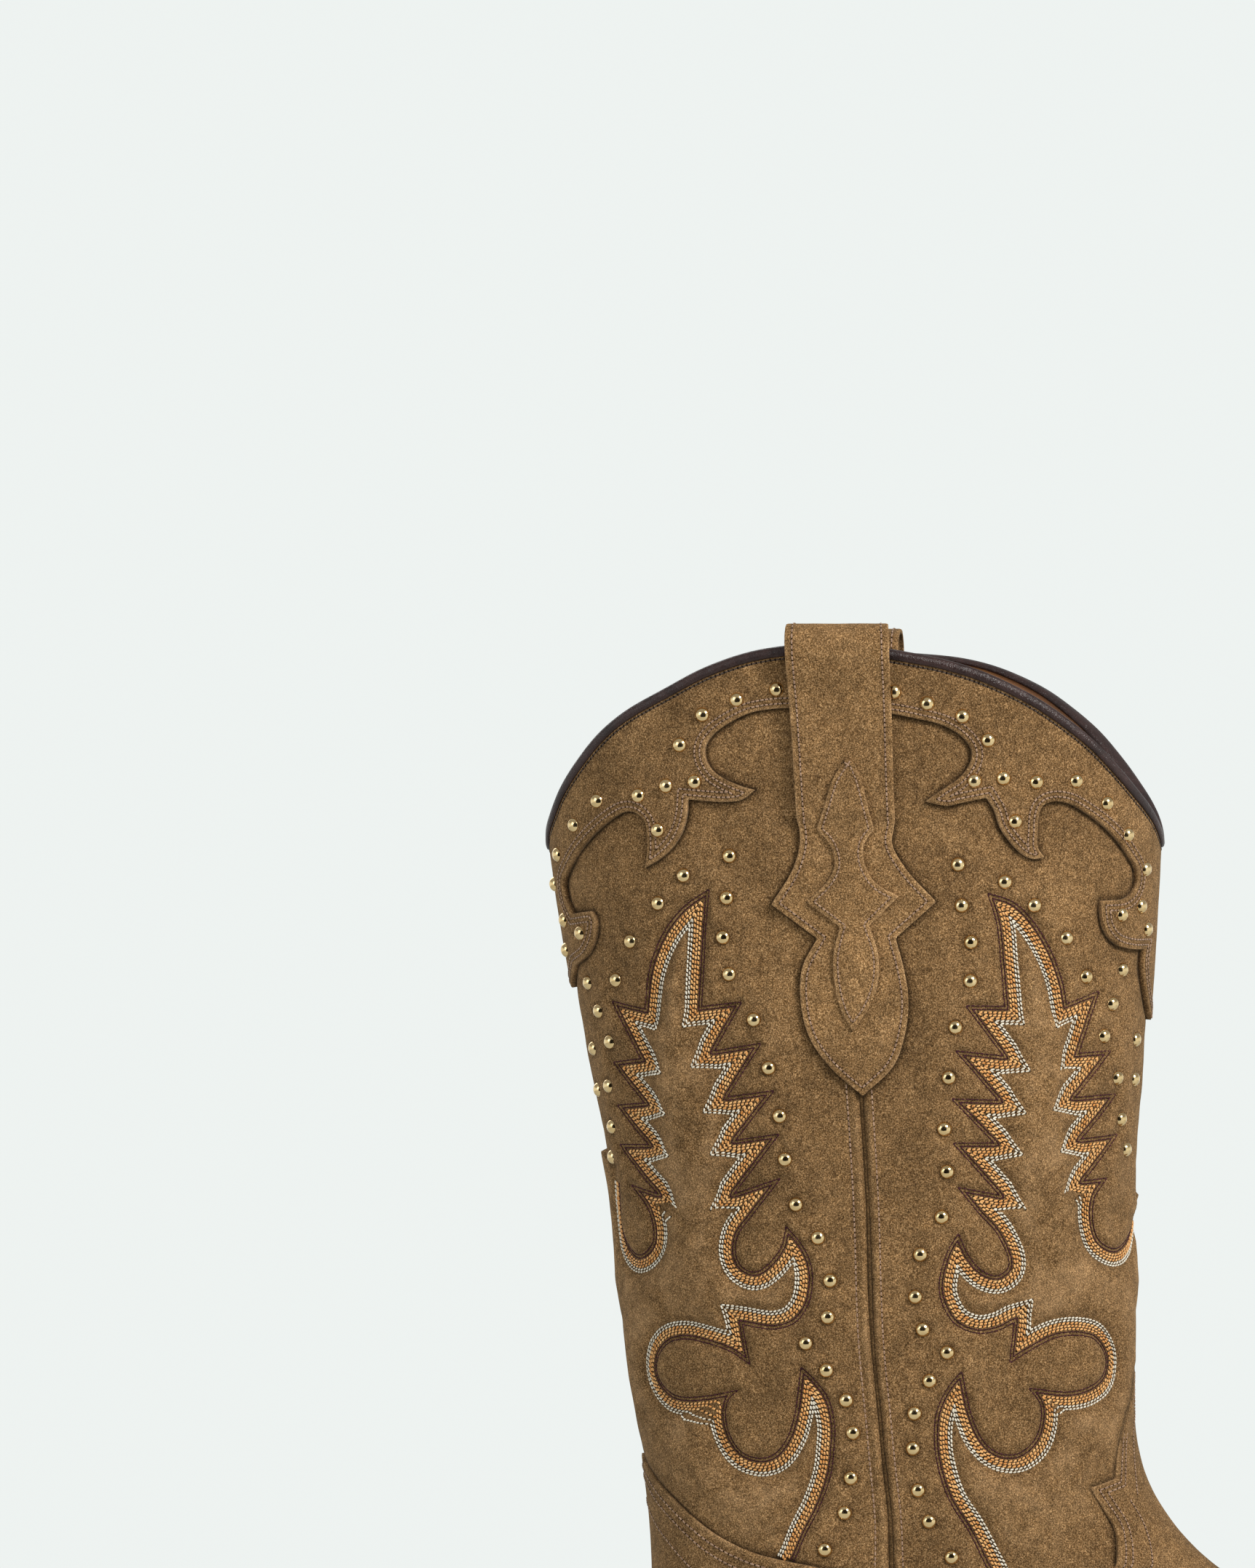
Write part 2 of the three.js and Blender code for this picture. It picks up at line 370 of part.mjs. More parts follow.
// stacked heel: D-shaped lifts that taper to the ground and slope forward at the back
const heelTopZ = x => bottomZ(x) + soleLow - GAP;
function heelOutline(g) {   // 0 at the seat, 1 at the ground
  const f = Math.min(Math.max(g, 0), 1);
  const xb = -66 + 20 * f ** 0.85, xf = 14 - 12 * f, w = 32.5 - 4.5 * f, out = [];
  const cx = xb + w * 0.95;
  for (let k = 0; k <= 12; k++) { const a = Math.PI / 2 + Math.PI * k / 12; out.push([cx + w * 0.95 * Math.cos(a), w * Math.sin(a)]); }
  out.push([xf, -w + 1.2], [xf - 2.2, -w * 0.5], [xf - 3, 0], [xf - 2.2, w * 0.5], [xf, w - 1.2]);
  return out;
}
function loft(z0, z1, H) {
  const A = heelOutline(1 - z0 / H), B = heelOutline(1 - z1 / H), n = A.length, pos = [], idx = [];
  for (const [x, y] of A) pos.push(x, y, z0);
  for (const [x, y] of B) pos.push(x, y, z1);
  const tri = THREE.ShapeUtils.triangulateShape(A.map(p => new THREE.Vector2(...p)), []);
  for (const [a, b, c] of tri) { idx.push(a, c, b); idx.push(a + n, b + n, c + n); }
  for (let k = 0; k < n; k++) { const l = (k + 1) % n; idx.push(k, l, l + n, k, l + n, k + n); }
  let s = solidOf(pos, idx);
  if (s.volume() < 0) s = solidOf(pos, idx.map((_, i) => idx[i - (i % 3) + [0, 2, 1][i % 3]]));
  return s;
}
const HEEL_H = 40;
const NAILS = [[-40, -14], [-40, 14], [-12, -17], [-12, 17]];
const nailSolid = (r, z0, z1) => NAILS.map(([x, y]) => manifoldOf(new THREE.CylinderGeometry(r, r, z1 - z0, 8).rotateX(Math.PI / 2).translate(x, y, (z0 + z1) / 2)));
const nailHoles = nailSolid(1.2, 2.5, 13.3).reduce((a, b) => a.add(b));
add('heel_top_lift', loft(0, TOP_LIFT_T, HEEL_H).subtract(nailHoles), 'rubber');
const liftZ = i => TOP_LIFT_T + GAP + i * (29 / HEEL_LIFTS);
for (let i = 0; i < HEEL_LIFTS; i++) {
  const z0 = liftZ(i), last = i === HEEL_LIFTS - 1;
  let s = loft(z0, last ? 46 : liftZ(i + 1) - GAP, HEEL_H);
  if (i >= 2) s = s.intersect(sideCut([...BX.filter(x => x <= 50).map(x => [x, heelTopZ(x)]), [50, 0], [-76, 0]]));
  if (i < 2) s = s.subtract(nailHoles);
  s = s.subtract(manifoldOf(new THREE.CylinderGeometry(2.3, 2.3, 60, 12).rotateX(Math.PI / 2).translate(-30, 0, 45.5)));
  add('heel_lift_' + (i + 1), s, 'sole');
}
nailSolid(0.9, 2.8, 13).forEach((s, i) => add('heel_nail_' + (i + 1), s, 'steel'));
add('heel_screw', [manifoldOf(new THREE.CylinderGeometry(2, 2, 24, 12).rotateX(Math.PI / 2).translate(-30, 0, 28.5)),
  manifoldOf(new THREE.CylinderGeometry(2.1, 2.0, 1, 12).rotateX(Math.PI / 2).translate(-30, 0, 40.9))], 'steel');

// ---------------------------------------------------------------- studs: domes on a thin backing strip, one strip per row
// positions on the last surface: angle from the front line in degrees, distance down from the shaft top in mm
const STUD_ROWS = {
  collar_back: [[101.8, 16.3], [109.3, 19], [116.3, 22.9], [121.2, 30.9], [118.2, 40.6], [124.6, 41.7], [127.1, 53.4], [131.5, 44.3], [143.7, 45.7], [153.4, 52.1], [164.8, 60], [174.3, 68], [167.4, 77.7], [157, 81.1], [171.2, 85.7]],
  collar_front: [[81.9, 17], [75.9, 20], [69.2, 23.4], [64.1, 29.7], [66.8, 40.4], [60.9, 39.7], [58.3, 51.1], [53.6, 40.7], [43.7, 40.4], [34.5, 46.3], [26.6, 54.7], [17.2, 64], [19, 73.8], [27.9, 76], [14.2, 80.1]],
  panel_back: [[167.7, 141.9], [160.8, 133.4], [169.4, 123.7], [158.1, 122.4], [165.9, 112.5], [152.7, 110.4], [155.9, 102.1], [160.3, 94.7], [146, 93.8], [138.8, 83.3], [129.3, 73], [122.3, 65.6], [112, 60.4], [113.2, 71.4], [114.8, 82], [114.4, 91.9], [110, 103.9], [107.9, 116.8], [106.6, 129.6], [106.4, 141.2], [104.9, 153.3], [100.4, 162.1], [98.1, 173.5], [99, 183.2], [104.4, 190.1], [100.3, 197], [96.6, 204.8], [95.9, 213.2], [97.3, 224.6], [99.4, 233.1], [103.9, 241.2]],
  panel_front: [[16.9, 139.3], [21.6, 131], [12.5, 120.5], [24.7, 119.9], [13.8, 109.8], [31.5, 108.5], [28.9, 99.9], [24.4, 90.9], [38.7, 92.6], [45, 82.2], [53.5, 73.4], [60.3, 67.2], [69.9, 62.6], [69.3, 73.4], [67.5, 83.2], [67.7, 93.6], [71, 105.9], [72.6, 119.3], [73.8, 133], [73.4, 144.3], [74.8, 156.4], [79.6, 166.3], [80.8, 177.4], [79.4, 186.2], [74.1, 192.5], [78.7, 200.5], [82.6, 209.4], [83.6, 219], [83.5, 230.6], [81.8, 239.7], [77.5, 251.2]],
};
const onSurf = (t, v, d) => { const p = surf(t, v), n = normal(t, v); return p.addScaledVector(n, d); };
function studStrip(path, base) {
  // the strip widens and rises into a dome at each stud; [distance along, half width, height] from the stud centre
  const DOME = [[-1.9, 0.45, 0.35], [0, STUD_D / 2, STUD_H], [1.9, 0.45, 0.35]];
  const secs = [];
  const at = ([t, v]) => surf(t * D2R, v);
  for (let i = 0; i < path.length; i++) {
    const a = path[Math.max(i - 1, 0)], b = path[Math.min(i + 1, path.length - 1)], c = path[i];
    const len = q => at(q).distanceTo(at(c));
    for (const [d, w, h] of DOME) {
      const o = d < 0 ? (i > 0 ? a : null) : (i < path.length - 1 ? b : null);
      if (!o && d !== 0) { /* the free end keeps its half dome */ }
      const r = o || (d < 0 ? [2 * c[0] - b[0], 2 * c[1] - b[1]] : [2 * c[0] - a[0], 2 * c[1] - a[1]]);
      const f = Math.abs(d) / len(r);
      secs.push([[c[0] + (r[0] - c[0]) * f, c[1] + (r[1] - c[1]) * f], w, h]);
    }
    if (i + 1 < path.length) {
      const near = Math.abs(((c[0] % 180) + 180) % 180 - 90) > 50;
      const steps = Math.ceil(Math.abs(path[i + 1][0] - c[0]) / (near ? 7 : 12));
      for (let k = 1; k < steps; k++) secs.push([[c[0] + (path[i + 1][0] - c[0]) * k / steps, c[1] + (path[i + 1][1] - c[1]) * k / steps], 0.5, 0.35]);
    }
  }
  const pos = [], idx = [];
  secs.forEach(([q, w, h], i) => {
    const p = at(q), n = normal(q[0] * D2R, q[1]);
    const dir = at(secs[Math.min(i + 1, secs.length - 1)][0]).sub(at(secs[Math.max(i - 1, 0)][0])).normalize();
    const side = dir.cross(n).normalize();
    for (const [u, e] of [[-w, base], [w, base], [w * 0.6, base + h], [-w * 0.6, base + h]]) {
      const x = p.clone().addScaledVector(side, u).addScaledVector(n, e);
      pos.push(x.x, x.y, x.z);
    }
  });
  const last = (secs.length - 1) * 4;
  for (let i = 0; i < last; i += 4) for (let k = 0; k < 4; k++) {
    const l = (k + 1) % 4;
    idx.push(i + k, i + l, i + 4 + l, i + k, i + 4 + l, i + 4 + k);
  }
  idx.push(0, 2, 1, 0, 3, 2, last, last + 1, last + 2, last, last + 2, last + 3);
  let s = solidOf(pos, idx);
  if (s.volume() < 0) s = solidOf(pos, idx.map((_, i) => idx[i - (i % 3) + [0, 2, 1][i % 3]]));
  return s;
}
const onCollar = GAP + OVERLAY + GAP + 0.3, onPanel = GAP + 0.45;
const mirrorRow = row => row.map(([t, v]) => [-t, v]);
const wrapBack = row => [...row, ...row.slice().reverse().map(([t, v]) => [360 - t, v])];
const wrapFront = row => [...row, ...row.slice().reverse().map(([t, v]) => [-t, v])];
add('collar_studs_back', studStrip(wrapBack(STUD_ROWS.collar_back), onCollar), 'brass');
add('collar_studs_front', studStrip(wrapFront(STUD_ROWS.collar_front), onCollar), 'brass');
add('panel_studs_back_lateral', studStrip(STUD_ROWS.panel_back, onPanel), 'brass');
add('panel_studs_back_medial', studStrip(mirrorRow(STUD_ROWS.panel_back), onPanel), 'brass');
add('panel_studs_front_lateral', studStrip(STUD_ROWS.panel_front, onPanel), 'brass');
add('panel_studs_front_medial', studStrip(mirrorRow(STUD_ROWS.panel_front), onPanel), 'brass');

group.position.set(SHIFT_X, SHIFT_Y, 0);
export default group;
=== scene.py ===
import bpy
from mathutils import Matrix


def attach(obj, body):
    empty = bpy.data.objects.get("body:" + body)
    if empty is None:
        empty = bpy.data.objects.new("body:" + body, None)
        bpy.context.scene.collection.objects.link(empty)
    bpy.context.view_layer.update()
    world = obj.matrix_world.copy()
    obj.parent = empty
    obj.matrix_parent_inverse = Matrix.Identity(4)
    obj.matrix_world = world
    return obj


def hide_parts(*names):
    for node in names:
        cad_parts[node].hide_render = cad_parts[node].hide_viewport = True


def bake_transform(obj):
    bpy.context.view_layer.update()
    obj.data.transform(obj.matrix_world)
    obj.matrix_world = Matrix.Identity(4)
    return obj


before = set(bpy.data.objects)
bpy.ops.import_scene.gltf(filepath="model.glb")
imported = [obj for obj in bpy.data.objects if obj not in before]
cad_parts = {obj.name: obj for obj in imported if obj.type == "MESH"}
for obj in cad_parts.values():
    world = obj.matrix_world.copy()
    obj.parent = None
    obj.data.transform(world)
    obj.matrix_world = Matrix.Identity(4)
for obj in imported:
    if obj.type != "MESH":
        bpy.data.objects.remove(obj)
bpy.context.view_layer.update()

# A suede western boot: the upper is built on one lofted last surface, and every leather piece, seam and stud is laid on it.
import math
import bpy
import numpy as np
from mathutils import Vector, kdtree
from mathutils.geometry import delaunay_2d_cdt

# ------------------------------------------------------------------ last surface (design frame, millimetres)
SHIFT = np.array([-70.607, -1.7, 0.0])     # design frame (X = 0 at the side seam) to the part's frame
ST = np.array([
    (77, 350, -87.5, 350, 43, .5, 2.1, 2.1, 0),
    (76.3, 300, -86.2, 300, 42.5, .5, 2.1, 2.1, 0),
    (73, 240, -77, 240, 41, .5, 2.1, 2.1, 0),
    (70.4, 200, -69.6, 200, 39.5, .5, 2.1, 2.1, 0),
    (69, 160, -65.3, 160, 38, .5, 2.1, 2.1, 0),
    (68.9, 143, -60.8, 130, 37, .5, 2.1, 2.1, 0),
    (70.2, 130, -58.2, 106, 36, .5, 2.1, 2.15, 0),
    (74, 119, -57.8, 84, 35, .49, 2.1, 2.3, 0),
    (81, 108.5, -59.5, 64, 34, .47, 2.1, 2.6, 0),
    (89.5, 100, -58.2, 42, 33, .45, 2.1, 3.2, 0),
    (100, 92.5, -40, 41, 32.5, .42, 2.15, 4.5, 0),
    (112, 84, -10, 37, 33, .40, 2.2, 6, 0),
    (125, 76, 25, 27, 34, .38, 2.2, 8, 0.5),
    (140, 67, 60, 14, 38, .36, 2.2, 8, 1),
    (156, 58.5, 92, 5.8, 43, .35, 2.25, 8, 1.5),
    (172, 51, 125, 3, 45.5, .35, 2.3, 8, 2),
    (188, 44, 155, 3, 43, .36, 2.3, 8, 3),
    (203, 37.5, 182, 4.5, 35, .38, 2.3, 7, 4),
    (214, 32, 203, 7, 24, .40, 2.3, 5, 5),
    (221, 26, 216, 9.5, 12, .45, 2.2, 3.5, 5.5),
    (224, 19, 222, 12.5, 3, .5, 2.1, 2.1, 6),
    (224.5, 16.4, 224, 14.6, .5, .5, 2.1, 2.1, 6.1)], float)
_d = 0.5 * (np.hypot(np.diff(ST[:, 0]), np.diff(ST[:, 1])) + np.hypot(np.diff(ST[:, 2]), np.diff(ST[:, 3])))
KV = np.concatenate([[0], np.cumsum(_d)])
VMAX = KV[-1]
TM = np.zeros_like(ST)
for _i in range(len(KV)):
    if _i == 0:
        TM[_i] = (ST[1] - ST[0]) / (KV[1] - KV[0])
    elif _i == len(KV) - 1:
        TM[_i] = (ST[-1] - ST[-2]) / (KV[-1] - KV[-2])
    else:
        _h0, _h1 = KV[_i] - KV[_i - 1], KV[_i + 1] - KV[_i]
        _s0, _s1 = (ST[_i] - ST[_i - 1]) / _h0, (ST[_i + 1] - ST[_i]) / _h1
        TM[_i] = np.where(_s0 * _s1 <= 0, 0, (_s0 * _h1 + _s1 * _h0) / (_h0 + _h1))


def station(v):
    v = np.clip(np.asarray(v, float), 0, VMAX)
    i = np.clip(np.searchsorted(KV, v, side="right") - 1, 0, len(KV) - 2)
    h = (KV[i + 1] - KV[i])[..., None]
    u = ((v - KV[i]) / h[..., 0])[..., None]
    return ((2 * u ** 3 - 3 * u ** 2 + 1) * ST[i] + (u ** 3 - 2 * u ** 2 + u) * h * TM[i]
            + (-2 * u ** 3 + 3 * u ** 2) * ST[i + 1] + (u ** 3 - u ** 2) * h * TM[i + 1])


def S(t, v):
    """Point of the last surface: t = 0 at the front line, pi/2 at the lateral seam, pi at the back line."""
    t, v = np.broadcast_arrays(np.asarray(t, float), np.asarray(v, float))
    q = station(v)
    fx, fz, kx, kz, w, qm, nf, nk, yc = [q[..., i] for i in range(9)]
    c, s = np.cos(t), np.sin(t)
    n = np.where(c >= 0, nf, nk)
    cc = np.abs(c) ** (2 / n)
    ss = np.sign(s) * np.abs(s) ** (2 / n)
    r = np.where(c >= 0, qm + (1 - qm) * cc, qm - qm * cc)
    return np.stack([kx + (fx - kx) * r, yc - w * ss, kz + (fz - kz) * r], -1)


def SN(t, v):
    """Outward unit normal."""
    t, v = np.broadcast_arrays(np.asarray(t, float), np.asarray(v, float))
    a = S(t + 0.02, v) - S(t - 0.02, v)
    b = S(t, np.minimum(v + 0.6, VMAX)) - S(t, np.maximum(v - 0.6, 0))
    n = np.cross(a, b)
    return n / np.maximum(np.linalg.norm(n, axis=-1, keepdims=True), 1e-9)


# arc length round the shaft from the lateral seam, forwards positive, measured at one height
_T = np.linspace(-2 * math.pi, 2 * math.pi, 5761)
_R = S(_T, np.full_like(_T, 60.0))
_A = np.concatenate([[0], np.cumsum(np.linalg.norm(np.diff(_R, axis=0), axis=1))])
_A = -(_A - np.interp(math.pi / 2, _T, _A))
_TH = np.linspace(0, 2 * math.pi, 361)
_ZS = np.linspace(40, 350, 125)


def _seam_v(z):
    lo, hi = np.zeros_like(z), np.full_like(z, 330.0)
    for _ in range(30):
        m = (lo + hi) / 2
        up = S(np.full_like(m, math.pi / 2), m)[..., 2] > z
        lo, hi = np.where(up, m, lo), np.where(up, hi, m)
    return (lo + hi) / 2


def _perimeter(v):
    p = S(_TH[None, :], np.asarray(v)[:, None])
    return np.linalg.norm(np.diff(p, axis=1), axis=2).sum(1)


_P0 = _perimeter(np.array([60.0]))[0]
_G = _perimeter(_seam_v(_ZS)) / _P0


def girth(z):
    return np.interp(z, _ZS, _G)


def a_of(t, z):
    return np.interp(t, _T, _A) * girth(z)


def t_of(a, z):
    return np.interp(-np.asarray(a) / girth(z), -_A, _T)


FRONT_A = float(np.interp(0.0, _T, _A))          # arc from the seam to the front line at the reference height
BACK_A = float(np.interp(math.pi, _T, _A))       # the same to the back line (negative)


def v_of(t, z):
    t, z = np.broadcast_arrays(np.asarray(t, float), np.asarray(z, float))
    lo, hi = np.zeros(t.shape), np.full(t.shape, 310.0)
    for _ in range(26):
        m = (lo + hi) / 2
        up = S(t, m)[..., 2] > z
        lo, hi = np.where(up, m, lo), np.where(up, hi, m)
    return (lo + hi) / 2


def on_shaft(a, z, off=0.0, side=1):
    """Pattern position (arc from the seam, height) to a point and normal; side -1 mirrors it to the medial side."""
    t = t_of(a, z)
    v = v_of(t, z)
    if side < 0:
        t = -t
    n = SN(t, v)
    return S(t, v) + n * np.asarray(off)[..., None], n


def smooth(pts, step=0.7):
    """A curve through points, resampled evenly (centripetal Catmull-Rom)."""
    p = np.asarray(pts, float)
    if len(p) == 2:
        n = max(2, int(np.linalg.norm(p[1] - p[0]) / step) + 1)
        return p[0] + (p[1] - p[0]) * np.linspace(0, 1, n)[:, None]
    q = np.vstack([2 * p[0] - p[1], p, 2 * p[-1] - p[-2]])
    out = []
    for i in range(1, len(q) - 2):
        p0, p1, p2, p3 = q[i - 1], q[i], q[i + 1], q[i + 2]
        t0 = 0
        t1 = t0 + max(np.linalg.norm(p1 - p0), 1e-6) ** .5
        t2 = t1 + max(np.linalg.norm(p2 - p1), 1e-6) ** .5
        t3 = t2 + max(np.linalg.norm(p3 - p2), 1e-6) ** .5
        t = np.linspace(t1, t2, 13)[:-1, None]
        a1 = (t1 - t) / (t1 - t0) * p0 + (t - t0) / (t1 - t0) * p1
        a2 = (t2 - t) / (t2 - t1) * p1 + (t - t1) / (t2 - t1) * p2
        a3 = (t3 - t) / (t3 - t2) * p2 + (t - t2) / (t3 - t2) * p3
        b1 = (t2 - t) / (t2 - t0) * a1 + (t - t0) / (t2 - t0) * a2
        b2 = (t3 - t) / (t3 - t1) * a2 + (t - t1) / (t3 - t1) * a3
        out.append((t2 - t) / (t2 - t1) * b1 + (t - t1) / (t2 - t1) * b2)
    out = np.vstack(out + [p[-1:]])
    return even(out, step)


def even(p, step):
    d = np.concatenate([[0], np.cumsum(np.linalg.norm(np.diff(p, axis=0), axis=1))])
    n = max(1, int(round(d[-1] / step)))
    s = np.linspace(0, d[-1], n + 1)
    return np.stack([np.interp(s, d, p[:, k]) for k in range(p.shape[1])], -1)


def split_path(pts):
    """Rows of (a, z) or (a, z, 1) where 1 marks a sharp corner -> list of smooth pieces."""
    segs, cur = [], []
    for q in pts:
        cur.append((q[0], q[1]))
        if len(q) > 2 and len(cur) > 1:
            segs.append(cur)
            cur = [cur[-1]]
    if len(cur) > 1:
        segs.append(cur)
    return [smooth(s) for s in segs]


def offset_line(p, d):
    g = np.gradient(p, axis=0)
    g /= np.maximum(np.linalg.norm(g, axis=1, keepdims=True), 1e-9)
    return p + d * np.stack([g[:, 1], -g[:, 0]], -1), g


def offset_path(segs, d, limit=1.7):
    """The whole path moved sideways by d (clockwise of travel), trimmed or joined at each corner."""
    n = len(segs)
    off, ga, gb, straight = [], [], [], []
    for s in segs:
        o, g = offset_line(s, d)
        off.append(o)
        ga.append(g[0])
        gb.append(g[-1])
        arc = np.linalg.norm(np.diff(s, axis=0), axis=1).sum()
        straight.append(np.linalg.norm(s[-1] - s[0]) > 0.999 * arc)
    if abs(d) < 1e-9:
        return off
    ext, M = [], []
    for i in range(n - 1):
        g0, g1 = gb[i], ga[i + 1]
        n0, n1 = np.array([g0[1], -g0[0]]), np.array([g1[1], -g1[0]])
        m = d * (n0 + n1) / max(1 + float(n0 @ n1), 0.03)
        e = d * (g0[0] * g1[1] - g0[1] * g1[0]) > 0
        if e:
            l = np.linalg.norm(m)
            m = m / max(l, 1e-9) * min(l, limit * abs(d))
        ext.append(e)
        M.append(segs[i][-1] + m)
    ends = []
    for i in range(n):
        a = M[i - 1] if i > 0 and not ext[i - 1] else off[i][0]
        b = M[i] if i < n - 1 and not ext[i] else off[i][-1]
        ends.append([a, b, bool(straight[i] and (b - a) @ (segs[i][-1] - segs[i][0]) <= 0)])
    for i in range(1, n - 1):
        if ends[i][2] and not ends[i - 1][2] and not ends[i + 1][2]:
            p, r = off[i - 1][-1], gb[i - 1]
            q, s = off[i + 1][0], ga[i + 1]
            den = r[0] * s[1] - r[1] * s[0]
            if abs(den) > 0.05:
                w = q - p
                x = p + r * (w[0] * s[1] - w[1] * s[0]) / den
                if np.linalg.norm(x - p) < 8:
                    ends[i - 1][1] = x
                    ends[i + 1][0] = x
    out = []
    for i in range(n):
        a, b, dead = ends[i]
        if dead:
            continue
        o = off[i]
        if straight[i]:
            line = [a, b]
        else:
            h = len(o) // 2
            ia = int(np.argmin(np.linalg.norm(o[:h + 1] - a, axis=1)))
            ib = h + int(np.argmin(np.linalg.norm(o[h:] - b, axis=1)))
            line = [a] + list(o[ia + 1:ib]) + [b]
        if i > 0 and ext[i - 1]:
            line = [M[i - 1]] + line
        if i < n - 1 and ext[i]:
            line = line + [M[i]]
        line = np.array(line)
        if np.linalg.norm(np.diff(line, axis=0), axis=1).sum() > 0.5:
            out.append(even(line, 0.6) if not straight[i] else line)
    return out


# ------------------------------------------------------------------ pattern: (arc from the side seam, height) in millimetres; a third value marks a sharp corner
D = {}
D["back_motif"] = [
    (-76.9, 201.9), (-77.8, 195.6), (-77.8, 191.4), (-74.3, 185.3), (-69.1, 183), (-64, 185.7), (-62.7, 189.9), (-64.7, 196.1), (-70.6, 201.8, 1),
    (-60.5, 199.7, 1), (-74.2, 212.5, 1), (-62.3, 212.8, 1), (-73.1, 223, 1), (-62.2, 223.9, 1), (-72.6, 234.5, 1), (-62.1, 235.7, 1),
    (-70.6, 250.9, 1), (-59.5, 248.9, 1), (-57.3, 258), (-54.7, 264.2), (-50.3, 271.1), (-44.6, 276.7), (-37.7, 280.9, 1), (-39.2, 271.9),
    (-40.5, 261.6), (-42.1, 249.8, 1), (-30.7, 251.1, 1), (-39.3, 238.1, 1), (-26.1, 240.2, 1), (-36.6, 225.9, 1), (-23.4, 227.7, 1),
    (-35.3, 214.4, 1), (-22.9, 216.2, 1), (-36.7, 200.2, 1), (-23.3, 204.5, 1), (-32.2, 194.1), (-36.1, 189.2), (-37, 184.3), (-35.4, 180.9),
    (-31.6, 179.5), (-27.8, 181.6), (-23.9, 186.4), (-22.5, 191.8, 1), (-18.4, 187), (-16.1, 182.3), (-15.6, 177.6), (-17, 171.1), (-20.9, 166.3),
    (-26.6, 164.5), (-35.7, 165.5, 1), (-34.3, 154.9, 1), (-39.8, 158.3), (-46.3, 160.2), (-53.3, 161.2), (-58.7, 160.1), (-62.8, 156.9),
    (-64.7, 152.6), (-63.4, 149.1), (-59.5, 146.3), (-54.9, 145.6), (-47.7, 146.2), (-38.5, 148, 1), (-41.7, 145.2), (-42.9, 140.4), (-42, 135.7),
    (-39.2, 131.6), (-34.2, 130), (-29.6, 131.3), (-25.5, 136.1), (-23, 142.1), (-20.1, 154.5, 1), (-16.6, 151), (-13.5, 146.3), (-12.4, 139.2),
    (-13.2, 132.7), (-14.8, 125.6), (-18.5, 117.3), (-22.7, 110.1), (-25.9, 103.5), (-27.9, 100.5),
]
D["front_motif"] = [
    (83.6, 193), (79.8, 188.2), (72.2, 185.1), (65.9, 187.4), (63.7, 192.3), (64.3, 198.6), (69.3, 204, 1), (61, 203.5, 1), (73.9, 215.6, 1),
    (60.6, 214.6, 1), (73.6, 226.4, 1), (59.1, 225.7, 1), (71.8, 237.9, 1), (60.9, 237.4, 1), (68.2, 253.9, 1), (57.8, 250.5, 1), (56.9, 256.1),
    (54.2, 263.7), (49.4, 271.9), (43.8, 277.5), (36.8, 279.9, 1), (38.9, 272), (39.5, 261.7), (40, 250, 1), (29.4, 250.2, 1), (39, 236.9, 1),
    (26, 238.3, 1), (36.9, 225.2, 1), (24.2, 225.6, 1), (35.2, 213.9, 1), (23.9, 213.9, 1), (35.9, 200.1, 1), (24.6, 202.2, 1), (29.7, 195.7),
    (35.2, 189.4), (37.9, 181.3), (34.8, 178.8), (30.9, 179.8), (27, 183.9), (24.3, 190, 1), (21.2, 185.2), (18.7, 177), (19.2, 171.9),
    (22.5, 166.2), (28.3, 163.6), (34.2, 164.2), (39, 166.3, 1), (36.9, 155.5, 1), (43.3, 158.9), (50.6, 162), (58.1, 162.4), (63.7, 160.9),
    (67.1, 156.3), (65.7, 151.9), (60.9, 148.9), (53.7, 147.5), (41.6, 148.8, 1), (44.3, 144.9), (44.3, 140.4), (41.6, 134.8), (36.3, 131.4),
    (31.1, 131.8), (27.5, 135), (24.9, 142), (23.5, 153.5, 1), (19.1, 149), (15.5, 142.7), (14.2, 135.7), (14.4, 128.1), (16.4, 119.2),
    (20.9, 110.9), (23.9, 103.2), (26.8, 95.5),
]
D["collar_back"] = [
    (-14.2, 328.8), (-19.8, 328.5), (-25.6, 327.4), (-31.5, 324.5), (-35.1, 321.9), (-37.2, 319), (-37.3, 315.6), (-35.2, 312.1), (-31.6, 309.8),
    (-27.5, 308.1), (-24, 307.2, 1), (-27.6, 304.6), (-31.7, 304), (-37.7, 304.3), (-42.3, 304.7, 1), (-42.7, 301.1), (-44.1, 296.5), (-46.8, 292.4),
    (-50.8, 289), (-55.4, 286.6, 1), (-54.5, 290.7), (-54.3, 295.3), (-54.8, 298.8), (-57.3, 301.1), (-60.7, 301.4), (-67.2, 298.2), (-75.6, 292.3),
    (-82.2, 286.5), (-86.3, 282.3), (-85.9, 278.3), (-82.8, 274.2, 1), (-74.1, 275, 1), (-72.7, 272.6), (-73.8, 267.9), (-77.8, 263.2),
    (-84.8, 260.4, 1),
]
D["collar_front"] = [
    (13, 327.1), (18.5, 326), (25.4, 324.3), (30.2, 321.6), (33, 318.1), (32.9, 314.7), (30.1, 310.6), (25.2, 307.2), (20.7, 304.1, 1), (26.6, 303),
    (30, 303.7), (37, 305.1, 1), (39.1, 301.7), (40.4, 297.5), (43.1, 293.4), (46.6, 290), (49.4, 288.9), (52.4, 289.4, 1), (50.6, 292),
    (50.7, 296.2), (51.2, 301), (52.3, 303), (54.9, 304.1), (59.4, 303.7), (65.6, 300.6), (73.1, 295.4), (78.7, 289.9), (82, 285.7), (81.3, 281.5),
    (77.5, 278.5), (68.8, 277.8, 1), (68.7, 274.7), (69.8, 269.9), (73.3, 266.4), (79.5, 264.9), (85.3, 264.8, 1),
]
